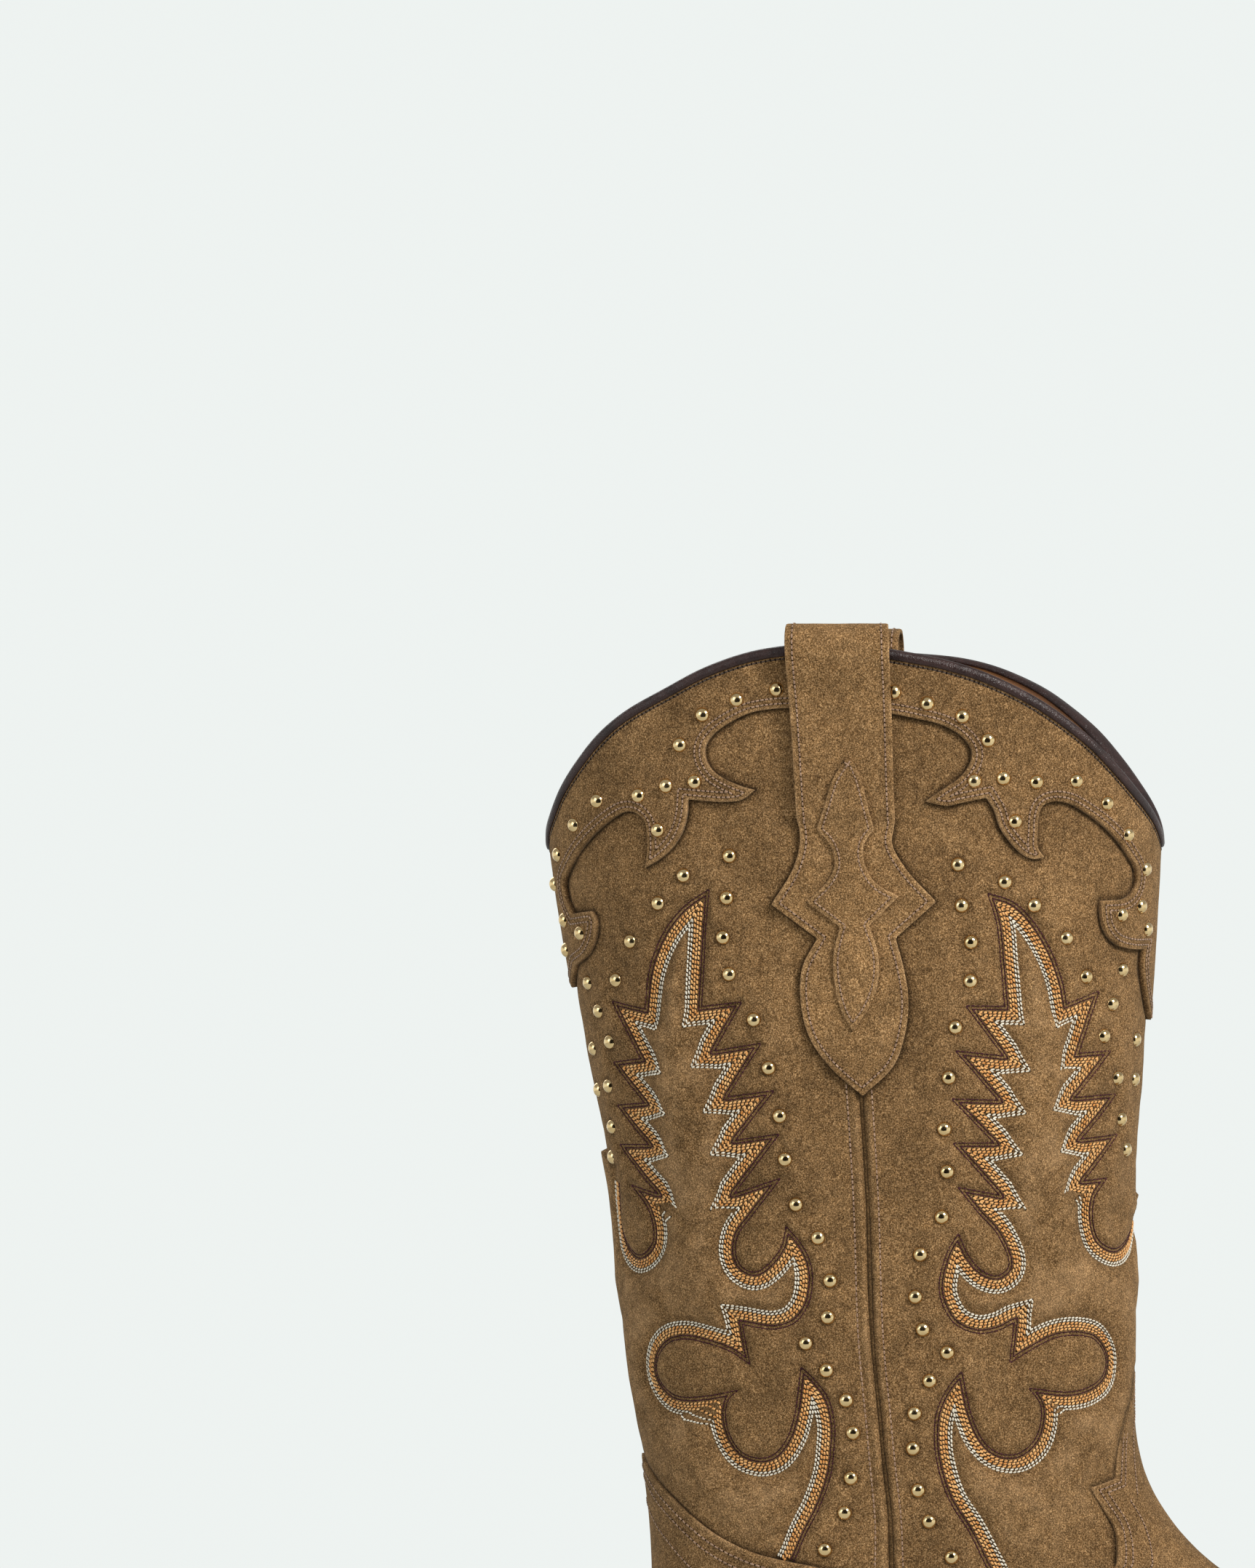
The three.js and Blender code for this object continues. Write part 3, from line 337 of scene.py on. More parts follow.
D["diamond"] = [
    (0.3, 315.7, 1), (-3.2, 310.1), (-5.5, 303.2), (-7.8, 296.8, 1), (-4.5, 292.9), (-3.4, 287.8), (-5.3, 283.5), (-11.2, 277.7, 1),
    (-2.9, 271.1, 1), (-5, 263.8), (-5.1, 256), (-3.8, 249.2), (-1.1, 243.6, 1), (3.2, 249.2), (6.2, 256), (6.8, 263.8), (4.9, 271.5, 1),
    (13, 279.2, 1), (7.1, 282.7), (4.4, 287.8), (4.5, 293), (7.2, 296.8, 1), (5.7, 303.2), (4.1, 310.1), (2.4, 314.4, 1),
]
D["studs_collar_back"] = [
    (-18.1, 333.7), (-28.7, 331), (-38, 327.1), (-44.3, 319.1), (-40.3, 309.4), (-48.3, 308.3), (-51, 296.6), (-56.4, 305.7), (-69.4, 304.3),
    (-78.3, 297.9), (-87.4, 290), (-94.2, 282.1), (-87.9, 272.5), (-79.2, 269.1), (-90, 264.5),
]
D["studs_collar_front"] = [
    (12.7, 333), (21.4, 330), (30.7, 326.6), (37.5, 320.3), (33.8, 309.6), (41.5, 310.3), (44.5, 298.9), (50.5, 309.3), (61.8, 309.6), (71.1, 303.7),
    (78.1, 295.3), (85.5, 286.1), (83.2, 276.3), (75.4, 274.1), (86.4, 270.1),
]
D["studs_panel_back"] = [
    (-80.6, 208.8), (-76.6, 217.2), (-84.1, 226.8), (-75.8, 228.1), (-82.9, 237.9), (-72.7, 240), (-76.2, 248.2), (-80.5, 255.6), (-68.3, 256.5),
    (-62.2, 266.9), (-52.6, 277.1), (-44.7, 284.5), (-31.8, 289.7), (-33, 278.7), (-34.7, 268.2), (-33.7, 258.4), (-27.7, 246.5), (-24.5, 233.7),
    (-22.4, 221), (-21.8, 209.5), (-19.6, 197.5), (-13.8, 188.8), (-10.8, 177.5), (-11.8, 167.8), (-18.3, 160.8), (-13.2, 153.7), (-8.6, 145.8),
    (-7.6, 137.2), (-9.3, 125.2), (-11.8, 115.9), (-17.4, 106),
]
D["studs_panel_front"] = [
    (77.6, 211.4), (75, 219.6), (83.1, 230), (73.8, 230.6), (83.4, 240.6), (69.2, 241.9), (72.3, 250.4), (77, 259.3), (63.9, 257.7), (58.3, 268),
    (49.4, 276.7), (41.5, 282.9), (29.2, 287.5), (29.7, 276.7), (31.7, 267), (31, 256.7), (26.3, 244.5), (23.8, 231.2), (21.8, 217.6), (21.9, 206.4),
    (19.9, 194.4), (13.8, 184.4), (12.2, 173.3), (13.8, 164.6), (20, 158.5), (14.4, 151), (9.5, 142.4), (8.2, 133.1), (8.3, 122), (10.4, 113.7),
    (15.8, 104.2),
]

# ------------------------------------------------------------------ tables that make the surface quick to read
FRONT_B = FRONT_A
_TT = np.linspace(0, math.pi, 181)
_ZZ = np.linspace(24, 349.5, 326)
_a, _b = np.meshgrid(_TT, _ZZ, indexing="ij")
_lo, _hi = np.zeros(_a.shape), np.full(_a.shape, 330.0)
for _ in range(24):
    _m = (_lo + _hi) / 2
    _up = S(_a, _m)[..., 2] > _b
    _lo, _hi = np.where(_up, _m, _lo), np.where(_up, _hi, _m)
_VT = (_lo + _hi) / 2


def v_of(t, z):
    t, z = np.broadcast_arrays(np.asarray(t, float), np.asarray(z, float))
    tf = np.abs((t + math.pi) % (2 * math.pi) - math.pi)
    i = tf / math.pi * 180
    j = np.clip(z - 24, 0, 325)
    i0, j0 = np.clip(i.astype(int), 0, 179), np.clip(j.astype(int), 0, 324)
    fi, fj = i - i0, j - j0
    return (_VT[i0, j0] * (1 - fi) * (1 - fj) + _VT[i0 + 1, j0] * fi * (1 - fj)
            + _VT[i0, j0 + 1] * (1 - fi) * fj + _VT[i0 + 1, j0 + 1] * fi * fj)


def t_ref(b):
    return np.interp(-np.asarray(b, float), -_A, _T)


def map_bz(P, h=0.0, side=1):
    """(b, z) with b = arc from the lateral seam at the reference height, pushed out by h."""
    b, z = P[..., 0], P[..., 1]
    t = t_ref(b)
    zc = np.minimum(z, 349.0)
    v = v_of(t, zc)
    if side < 0:
        t = -t
    p = S(t, v) + SN(t, v) * np.asarray(h)[..., None]
    p[..., 2] += z - zc
    return p


def map_az(P, h=0.0, side=1):
    Q = np.array(P, float)
    Q[..., 0] = Q[..., 0] / girth(Q[..., 1])
    return map_bz(Q, h, side)


def map_tv(P, h=0.0):
    """(45 t, v) straight onto the last surface."""
    t, v = P[..., 0] / 45.0, np.clip(P[..., 1], 0, VMAX)
    h = np.asarray(h)
    Q = S(t, v) + SN(t, v) * h[..., None]
    w = np.clip((v - VMAX + 1.6) / 1.6, 0, 1)
    w = (w * w * (3 - 2 * w))[..., None]
    tip = np.stack([224.4 + h, np.full(h.shape, 6.1), np.full(h.shape, 15.5)], -1)
    return Q * (1 - w) + tip * w


def metres(P):
    return (np.asarray(P, float) + SHIFT) / 1000.0


class Near:
    """Nearest of a set of flat points."""

    def __init__(self, P):
        self.P = np.asarray(P, float)
        self.k = kdtree.KDTree(len(P))
        for i, p in enumerate(self.P.tolist()):
            self.k.insert((p[0], p[1], 0.0), i)
        self.k.balance()

    def __call__(self, Q):
        n = len(Q)
        d, j = np.empty(n), np.empty(n, int)
        f = self.k.find
        for i, q in enumerate(np.asarray(Q, float).tolist()):
            _, j[i], d[i] = f((q[0], q[1], 0.0))
        return d, j


def build(name, V, quads=None, tris=None, attrs=None, smooth=True, scaled=False):
    V = np.asarray(V, float) if scaled else metres(V)
    me = bpy.data.meshes.new(name)
    me.vertices.add(len(V))
    me.vertices.foreach_set("co", V.astype(np.float32).ravel())
    parts, starts, at = [], [], 0
    for F, k in ((quads, 4), (tris, 3)):
        if F is None or len(F) == 0:
            continue
        F = np.asarray(F, np.int32)
        parts.append(F.ravel())
        starts.append(at + k * np.arange(len(F), dtype=np.int32))
        at += k * len(F)
    L = np.concatenate(parts)
    s = np.concatenate(starts)
    me.loops.add(len(L))
    me.loops.foreach_set("vertex_index", L)
    me.polygons.add(len(s))
    me.polygons.foreach_set("loop_start", s)
    me.polygons.foreach_set("use_smooth", np.full(len(s), bool(smooth)))
    me.update(calc_edges=True)
    me.validate()
    for key, val in (attrs or {}).items():
        a = me.attributes.new(key, "FLOAT", "POINT")
        a.data.foreach_set("value", np.asarray(val, np.float32))
    ob = bpy.data.objects.new(name, me)
    bpy.context.scene.collection.objects.link(ob)
    return ob


def finish_piece(ob, material, how="blend", nodes=()):
    ob.data.materials.clear()
    ob.data.materials.append(MAT[material])
    if how == "blend":
        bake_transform(ob)
    else:
        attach(ob, how)
    if nodes:
        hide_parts(*nodes)
    return ob


def grid_faces(nr, nc, close=False, flip=False, base=0):
    i, j = np.meshgrid(np.arange(nr - 1), np.arange(nc if close else nc - 1), indexing="ij")
    a = base + i * nc + j
    b = base + i * nc + (j + 1) % nc
    c = base + (i + 1) * nc + (j + 1) % nc
    d = base + (i + 1) * nc + j
    F = np.stack([a, b, c, d], -1).reshape(-1, 4)
    return F[:, ::-1] if flip else F


def closed_grid(outer, inner, flip=False):
    """Two matching point grids (rows, columns, 3) closed round their border."""
    nr, nc = outer.shape[:2]
    n = nr * nc
    F = [grid_faces(nr, nc, flip=flip), grid_faces(nr, nc, flip=not flip, base=n)]
    ring = ([i * nc for i in range(nr)] + [(nr - 1) * nc + j for j in range(1, nc)]
            + [i * nc + nc - 1 for i in range(nr - 2, -1, -1)] + list(range(nc - 2, 0, -1)))
    r = np.array(ring)
    q = np.roll(r, -1)
    w = np.stack([r, q, q + n, r + n], -1)
    F.append(w[:, ::-1] if flip else w)
    return np.concatenate([outer.reshape(-1, 3), inner.reshape(-1, 3)]), np.concatenate(F)


# ------------------------------------------------------------------ pattern lines
TOP_A = [(-99.9, 293.2), (-97.5, 294.3), (-94, 297.1), (-89.2, 301.0), (-83.1, 307.5), (-76.1, 314.5), (-68.1, 322.0), (-60.3, 327.5), (-48.6, 333.5),
         (-37.5, 339.0), (-25.6, 343.0), (-15.1, 344.7), (-6, 345.3), (2, 345.1), (13.0, 343.5), (26.8, 340.8), (35.8, 338.0), (42.8, 335.0),
         (51.4, 330.6), (58.8, 325.8), (66.6, 320.2), (75.1, 312.7), (82.1, 306.5), (90.3, 300.2), (94.8, 296.7), (98, 294.6), (99.9, 293.9)]
_top = np.array(TOP_A)
_top[:, 0] /= girth(_top[:, 1])
_top[0, 0], _top[-1, 0] = -FRONT_B, FRONT_B
_tops = smooth(_top, 0.5)


def fold(b):
    """Position on the whole upper to the same place on the lateral half."""
    b = np.asarray(b, float)
    b = np.where(b > FRONT_B, 2 * FRONT_B - b, b)
    return np.where(b < -FRONT_B, -2 * FRONT_B - b, b)


def z_top(b):
    b = np.asarray(b, float)
    u = np.clip((b - FRONT_B) / FRONT_B, 0, 0.92) / 0.92      # the inner side of the front scallop is cut a little higher
    return np.interp(fold(b), _tops[:, 0], _tops[:, 1]) + 3.4 * np.sin(math.pi * u) ** 1.2


def to_b(P):
    Q = np.array([q[:2] for q in P], float)
    Q[:, 0] /= girth(Q[:, 1])
    return Q


def pieces_b(pts):
    """Smooth pieces of a traced line in (b, z)."""
    out = []
    for s in split_path(pts):
        out.append(to_b(s))
    return out


def mirror(P, front=True):
    Q = np.array(P, float)
    Q[:, 0] = (2 if front else -2) * FRONT_B - Q[:, 0]
    return Q


TAIL_FRONT = [(85.3, 264.8), (84.6, 262.9), (84.4, 259.9), (85.8, 254.6), (88.6, 250.2), (91.4, 247.6), (95.1, 245.6)]
TAIL_BACK = [(-84.8, 260.4), (-86.5, 258.8), (-89.0, 256.8), (-92.0, 255.2), (-95.4, 254.2)]

EDGE = {}
EDGE["collar_front"] = pieces_b([(0.6, 328.4)] + [tuple(q) for q in D["collar_front"]] + TAIL_FRONT[1:])
EDGE["collar_back"] = pieces_b([(-0.6, 328.6)] + [tuple(q) for q in D["collar_back"]] + TAIL_BACK[1:])
EDGE["collar_front"][-1][-1, 0] = FRONT_B
EDGE["collar_back"][-1][-1, 0] = -FRONT_B


def x_to_t(x, z):
    """Angle on the lateral side where the last surface has this X and Z."""
    x, z = np.broadcast_arrays(np.asarray(x, float), np.asarray(z, float))
    lo, hi = np.zeros(x.shape), np.full(x.shape, math.pi)
    for _ in range(40):
        m = (lo + hi) / 2
        far = S(m, v_of(m, z))[..., 0] > x
        lo, hi = np.where(far, m, lo), np.where(far, hi, m)
    return (lo + hi) / 2


def xz_to_tv(pts):
    P = np.array(pts, float)
    t = x_to_t(P[:, 0], P[:, 1])
    return np.stack([t * 45, v_of(t, P[:, 1])], -1)


def az_to_tv(pts):
    P = np.array([p[:2] for p in pts], float)
    t = t_ref(P[:, 0] / girth(P[:, 1]))
    return np.stack([t * 45, v_of(t, P[:, 1])], -1)


_BP = np.array([(-70, 46), (-58, 45.4), (-40, 44), (-10, 40), (25, 30), (60, 17), (92, 9), (114, 6), (162, 6), (182, 7.5), (203, 9.8), (216, 12), (230, 15)], float)


def bottom_z(x):
    x = np.asarray(x, float)
    s = np.diff(_BP[:, 1]) / np.diff(_BP[:, 0])
    m = np.concatenate([[-0.05], np.where(s[1:] * s[:-1] <= 0, 0, 0.5 * (s[1:] + s[:-1])), [0.2]])
    i = np.clip(np.searchsorted(_BP[:, 0], x, side="right") - 1, 0, len(_BP) - 2)
    h = _BP[i + 1, 0] - _BP[i, 0]
    u = (x - _BP[i, 0]) / h
    return ((2 * u ** 3 - 3 * u ** 2 + 1) * _BP[i, 1] + (u ** 3 - 2 * u ** 2 + u) * h * m[i]
            + (-2 * u ** 3 + 3 * u ** 2) * _BP[i + 1, 1] + (u ** 3 - u ** 2) * h * m[i + 1])


def t_sole(v, off=0.1):
    """Angle where the last surface at v meets the sole; pi where it doesn't."""
    v = np.asarray(v, float)
    tt = np.linspace(math.pi / 2, math.pi, 241)
    P = S(tt[None, :], v[:, None])
    g = P[..., 2] - bottom_z(P[..., 0]) - off
    out = np.full(len(v), math.pi)
    for k in range(len(v)):
        neg = np.nonzero(g[k] < 0)[0]
        if len(neg) and neg[0] > 0:
            i = neg[0]
            out[k] = tt[i - 1] + (tt[i] - tt[i - 1]) * g[k, i - 1] / (g[k, i - 1] - g[k, i])
    return out


_SV = np.linspace(150, VMAX, 700)
_STS = t_sole(_SV)
_on = np.nonzero(_STS < math.pi - 1e-6)[0]
SOLE_EDGE = np.stack([_STS[_on] * 45, _SV[_on]], -1)      # heel end to toe end
SOLE_X = S(SOLE_EDGE[:, 0] / 45, SOLE_EDGE[:, 1])[:, 0]

VAMP_AZ = [(99.9, 152.4), (92, 151.6), (83.5, 150.6), (78.9, 149.2), (76.0, 144.2), (71.4, 139.4), (63.8, 123.8, 1), (54.9, 121.9, 1), (57.2, 116.4), (58.6, 111.3), (57.4, 106.2), (55.5, 101.7)]
_gf = FRONT_B * float(girth(np.array([152.4]))[0])
VAMP_AZ[0] = (_gf, 152.6)
VAMP_AZ[1] = (_gf - 2.6, 152.0)
VAMP_AZ[2] = ((_gf + 78.9) / 2 - 0.6, 150.9)
VAMP_TOP = []
for _s in split_path(VAMP_AZ):
    VAMP_TOP.append(az_to_tv(_s))
_last = VAMP_TOP[-1][-1]
VAMP_LOW = np.vstack([_last, xz_to_tv([(62, 96.6), (56, 94), (50, 92.7), (42, 92.1), (30, 92.6), (18, 94.6), (7.0, 97.2)])])
VAMP_LOW = smooth(VAMP_LOW, 0.7)
COUNTER_XZ = [(7.0, 97.2), (-3, 99.2), (-14.8, 101.7), (-21.9, 102.9), (-29, 104.6), (-35.3, 107.0), (-41.1, 110.0), (-46, 113.5), (-50.9, 117.6), (-55.3, 121.7), (-58.2, 125.2)]
_c = xz_to_tv(COUNTER_XZ)
_c = np.vstack([_c, [[172 / 180 * math.pi * 45, float(v_of(172 / 180 * math.pi, 127.6))], [math.pi * 45, float(v_of(math.pi, 129.2))]]])
COUNTER_TOP = smooth(_c, 0.7)

# ------------------------------------------------------------------ relief of the shaft panels
MOTIF = {}
for _key, _sg in (("back_motif", 1), ("front_motif", -1)):
    MOTIF[_key] = (split_path(D[_key]), _sg)


def motif_field(key):
    segs, sg = MOTIF[key]
    P, T = [], []
    for k, s in enumerate(segs):
        s = even(s, 0.35)
        g = np.gradient(s, axis=0)
        g /= np.maximum(np.linalg.norm(g, axis=1, keepdims=True), 1e-9)
        if k and len(P):
            m = g[0] + T[-1][-1]
            m /= max(np.linalg.norm(m), 1e-6)
            T[-1][-1] = m
            g[0] = m
        P.append(s)
        T.append(g)
    P, T = np.vstack(P), np.vstack(T)
    return Near(P), P, T, sg


FIELD = {k: motif_field(k) for k in MOTIF}
STUDS = {k: np.array(D[k], float) for k in D if k.startswith("studs_")}
STUD_NEAR = {"front": Near(np.vstack([STUDS["studs_collar_front"], STUDS["studs_panel_front"]])),
             "back": Near(np.vstack([STUDS["studs_collar_back"], STUDS["studs_panel_back"]]))}


def densify(pieces, step=0.35):
    return np.vstack([even(np.asarray(s), step) for s in pieces])


def b_to_a(P):
    Q = np.array(P, float)
    Q[:, 0] *= girth(Q[:, 1])
    return Q


FLARE_AZ = [(-12.9, 299.0), (-12.5, 297.2), (-12.5, 292.9), (-14.7, 286.1), (-20.8, 277.0, 1), (-9.1, 268.0, 1), (-13.5, 260.3), (-14.5, 251.7), (-12.9, 242.3),
            (-8.1, 234.5), (0.5, 226.4, 1), (9.3, 234.6), (12.8, 243.2), (14.1, 251.8), (13.3, 260.3), (11.6, 268.1, 1), (22.8, 277.7, 1), (15.4, 286.1),
            (11.8, 293.0), (12.4, 297.2), (12.7, 299.0)]
FLARE_PIECES = split_path(FLARE_AZ)
DIAMOND_PIECES = split_path([tuple(q) for q in D["diamond"]] + [tuple(D["diamond"][0])])


def tv_to_az(P):
    p = S(P[:, 0] / 45, P[:, 1])
    z = p[:, 2]
    return np.stack([np.interp(P[:, 0] / 45, _T, _A) * girth(z), z], -1)


EDGES_AZ = {
    "front": np.vstack([b_to_a(densify(EDGE["collar_front"])), densify(FLARE_PIECES), tv_to_az(densify(VAMP_TOP))]),
    "back": np.vstack([b_to_a(densify(EDGE["collar_back"])), densify(FLARE_PIECES), tv_to_az(even(COUNTER_TOP, 0.35))])}
EDGE_NEAR = {k: Near(v) for k, v in EDGES_AZ.items()}

_DS = [-14, -8, -4, -1.3, -0.2, 0.5, 2.4, 4.3, 5.0, 6.6, 9, 14, 28]
_DH = [0, .30, .78, .70, -.12, -.34, -.30, -.46, -.12, .85, 1.50, 1.95, .6]
# tone by distance from the motif band: darker in the sunken stitched band is painted shade, lighter on the puffed
# leaves is brushed nap with painted highlight on the raised tops
_DSHADE_TONE = [0, 0, .05, 0, -.38, -.28, -.1, -.35, -.15, .15, .32, .22, .0]


def wobble(P, seed=0.0):
    """Slow unevenness of the hide, about plus or minus one."""
    x, y = P[..., 0], P[..., 1]
    return (np.sin(x * .113 + 1.7 + seed) * np.cos(y * .091 - .6 + seed) + .6 * np.sin(x * .21 + y * .17 + 2.1 * seed)
            + .35 * np.sin(x * .47 - y * .39 + 4 + seed) + .22 * np.cos(x * .83 + y * .66 + seed)) / 2.1


def relief(A, which, tone_and_shade=False):
    """Height (mm) and tone of a panel at (a, z) points of the lateral half; the tone holds painted shade and highlight
    that follow the relief, and random nap.
    """
    near, P, T, sg = FIELD["front_motif" if which == "front" else "back_motif"]
    d, j = near(A)
    w = A - P[j]
    s = sg * (w[:, 0] * T[j][:, 1] - w[:, 1] * T[j][:, 0])
    d = np.where(s >= 0, d, -d)
    h = np.interp(d, _DS, _DH)
    fade = np.clip((A[:, 1] - 92) / 22, 0, 1)
    h = h * fade
    sd, _ = STUD_NEAR[which](A)
    h = h - 0.55 * np.exp(-(sd / 2.5) ** 2)
    a = A[:, 0]
    seam = np.clip((232 - A[:, 1]) / 6, 0, 1)
    h = h + seam * (-1.15 * np.exp(-(a / 0.8) ** 2) + 0.70 * np.exp(-((np.abs(a) - 1.9) / 1.0) ** 2))
    row = np.abs(a - 2.9) if which == "front" else np.abs(a + 3.8)
    h = h - seam * 0.16 * np.exp(-(row / 0.5) ** 2)
    ed, _ = EDGE_NEAR[which](A)
    h = h - 0.25 * np.exp(-(ed / 1.1) ** 2)
    h = h + 0.30 * wobble(A)
    if not tone_and_shade:
        return h
    # painted shade in the stitched band, and lighter brushed nap with painted highlight on the puffed leaves
    tn = np.interp(d, _DS, _DSHADE_TONE) * fade
    # painted contact shade in a ring round each stud
    tn = tn - 1.0 * np.exp(-((sd - 2.0) / 0.6) ** 2)
    # painted shadow along the foot of the overlay edges
    tn = tn - 1.5 * np.exp(-(ed / 0.7) ** 2) - 0.35 * np.exp(-(ed / 2.2) ** 2)
    # painted shade in the side seam groove and painted highlight on its two ridges
    tn = tn - seam * 0.9 * np.exp(-(a / 0.55) ** 2) + seam * .25 * np.exp(-((np.abs(a) - 1.6) / 0.7) ** 2)
    tn = tn + 0.10 * wobble(A * 1.3, 2.0)
    return h, tn


def shaft_panel(name, which, nodes):
    front = which == "front"
    nc = 4 * 60 + 1
    B = np.linspace(0, 2 * FRONT_B, nc) if front else np.linspace(-2 * FRONT_B, 0, nc)
    zt = z_top(B) - 1.2
    fb = np.abs(fold(B)) / FRONT_B
    zb = (90 - 8 * fb) if front else (90 + 13 * fb)
    nr = 4 * 78 + 1
    u = np.linspace(0, 1, nr)[:, None]
    Z = zt[None, :] + (zb - zt)[None, :] * u
    BB = np.broadcast_to(B[None, :], Z.shape)
    half = nc // 2
    Af = np.stack([fold(BB) * girth(Z), Z], -1)
    cols = np.arange(half + 1) if front else np.arange(half, nc)
    hh = np.zeros(Z.shape)
    tt = np.zeros(Z.shape)
    h, tn = relief(Af[:, cols].reshape(-1, 2), which, True)
    hh[:, cols] = h.reshape(nr, -1)
    tt[:, cols] = tn.reshape(nr, -1)
    hh[:, ::-1][:, cols] = h.reshape(nr, -1)
    tt[:, ::-1][:, cols] = tn.reshape(nr, -1)
    outer = map_bz(np.stack([BB, Z], -1), hh)
    inner = map_bz(np.stack([BB, Z], -1)[::4, ::4], np.full(Z[::4, ::4].shape, -1.3))
    ir, ic = inner.shape[:2]
    n = nr * nc
    F = [grid_faces(nr, nc, flip=not front if False else False), grid_faces(ir, ic, flip=True, base=n)]
    tri = []

    def rim(fine, coarse):
        for k in range(len(coarse) - 1):
            f = fine[4 * k:4 * k + 5]
            c0, c1 = coarse[k], coarse[k + 1]
            tri.extend([(f[0], f[1], c0), (f[1], f[2], c0), (f[2], c1, c0), (f[2], f[3], c1), (f[3], f[4], c1)])
    fi = np.arange(n).reshape(nr, nc)
    co = n + np.arange(ir * ic).reshape(ir, ic)
    rim(fi[0, ::-1], co[0, ::-1])
    rim(fi[-1], co[-1])
    rim(fi[:, 0], co[:, 0])
    rim(fi[::-1, -1], co[::-1, -1])
    V = np.concatenate([outer.reshape(-1, 3), inner.reshape(-1, 3)])
    T = np.concatenate([tt.reshape(-1), np.zeros(ir * ic)])
    ob = build(name, V, np.concatenate(F), np.array(tri), {"tone_and_shade": T})
    return finish_piece(ob, "suede", "blend", nodes)


def inside(P, poly):
    """Which points lie in a closed polygon."""
    x, y = P[:, 0], P[:, 1]
    a, b = poly, np.roll(poly, -1, axis=0)
    c = np.zeros(len(P), bool)
    for (x0, y0), (x1, y1) in zip(a, b):
        if y0 == y1:
            continue
        hit = ((y0 > y) != (y1 > y)) & (x < (x1 - x0) * (y - y0) / (y1 - y0) + x0)
        c ^= hit
    return c


def patch(name, loop, mapf, top, bot, step, edge=None, tone_and_shade=None, close=0.45):
    """A cut piece of leather: its flat outline triangulated, laid on the surface, with a raw edge all round.

    loop: closed outline in the flat pattern; edge: points of the edge that shows (for the raw-edge profile)."""
    B = even(np.vstack([loop, loop[:1]]), min(0.7, step))[:-1]
    lo, hi = B.min(0), B.max(0)
    gx = np.arange(lo[0] + step / 2, hi[0], step)
    gy = np.arange(lo[1] + step / 2, hi[1], step * 0.866)
    G = np.stack(np.meshgrid(gx, gy, indexing="xy"), -1)
    G[1::2, :, 0] += step / 2
    G = G.reshape(-1, 2)
    G = G[inside(G, B)]
    nb = Near(even(np.vstack([B, B[:1]]), 0.3))
    dg, _ = nb(G)
    G = G[dg > close + 0.35]
    tang = np.roll(B, -1, axis=0) - np.roll(B, 1, axis=0)
    tang /= np.maximum(np.linalg.norm(tang, axis=1, keepdims=True), 1e-9)
    area = 0.5 * np.sum(B[:, 0] * np.roll(B[:, 1], -1) - np.roll(B[:, 0], -1) * B[:, 1])
    sgn = 1 if area > 0 else -1
    nin = sgn * np.stack([-tang[:, 1], tang[:, 0]], -1)
    R = []
    for q in (0.16, close):
        r = B + nin * q
        dr, _ = nb(r)
        R.append(r[(dr > q * 0.8) & inside(r, B)])
    pts = np.vstack([B] + R + [G])
    n = len(B)
    res = delaunay_2d_cdt([Vector(p) for p in pts.tolist()], [(i, (i + 1) % n) for i in range(n)], [], 1, 1e-5)
    P = np.array([tuple(p) for p in res[0]], float)
    F = np.array([f for f in res[2] if len(f) == 3], int)
    a = P[F[:, 1]] - P[F[:, 0]]
    b = P[F[:, 2]] - P[F[:, 0]]
    neg = a[:, 0] * b[:, 1] - a[:, 1] * b[:, 0] < 0
    F[neg] = F[neg][:, ::-1]
    de, _ = (Near(edge) if edge is not None else nb)(P)
    th, tn = top(P, de), np.zeros(len(P))
    if tone_and_shade is not None:
        tn = tone_and_shade(P, de)
    up = mapf(P, th)
    dn = mapf(P, bot(P) if callable(bot) else np.full(len(P), float(bot)))
    m = len(P)
    # which way the flat pattern turns on the real surface
    c = F[len(F) // 2]
    fn = np.cross(up[c[1]] - up[c[0]], up[c[2]] - up[c[0]])
    if np.dot(fn, up[c[0]] - dn[c[0]]) < 0:
        F = F[:, ::-1]
    e = np.concatenate([F[:, [0, 1]], F[:, [1, 2]], F[:, [2, 0]]])
    key = {}
    for x, y in e.tolist():
        key[(x, y)] = 1
    rim = np.array([(x, y) for (x, y) in key if (y, x) not in key], int)
    walls = np.stack([rim[:, 1], rim[:, 0], rim[:, 0] + m, rim[:, 1] + m], -1)
    V = np.vstack([up, dn])
    # the underside and the lower part of the raw edge are 0.5 darker: painted shade under the piece
    ob = build(name, V, walls, np.vstack([F, F[:, ::-1] + m]), {"tone_and_shade": np.concatenate([tn, tn - 0.5])})
    return ob


def raw_edge(th, base=0.0):
    """Top height by distance from the cut edge: a slightly rounded raw edge."""
    def f(P, d):
        b = base(P) if callable(base) else base
        return b + th * np.interp(d, [0, 0.16, 0.45, 1.0], [0.70, 0.92, 1.0, 1.0]) + 0.05 * wobble(P * 3, 1.0)
    return f


def edge_tone_and_row_shade(rows=()):
    def f(P, d):
        # lighter at the cut edge, the colour of raw fibres
        t = 0.42 * np.exp(-(d / 0.5) ** 2) + 0.12 * wobble(P * 1.4, 3.0)
        for r in rows:
            # darker along each stitch row: painted shade of a sunken stitch line
            t = t - 0.26 * np.exp(-((d - r) / 0.35) ** 2)
        return t
    return f


# ------------------------------------------------------------------ stitches
RNG = np.random.default_rng(7)
_gx = np.array([-1.0, -.72, 0, .72, 1.0])
_gr = np.array([.30, .82, 1.0, .82, .30])
_ga = np.arange(6) / 6 * 2 * math.pi
GRAIN = np.array([(x / 2, r * math.cos(q) / 2, r * math.sin(q) / 2) for x, r in zip(_gx, _gr) for q in _ga])
GQ = grid_faces(5, 6, close=True)
GT = [(0, j, j + 1) for j in range(1, 5)] + [(24, 24 + j + 1, 24 + j) for j in range(1, 5)]
GT = np.array(GT)


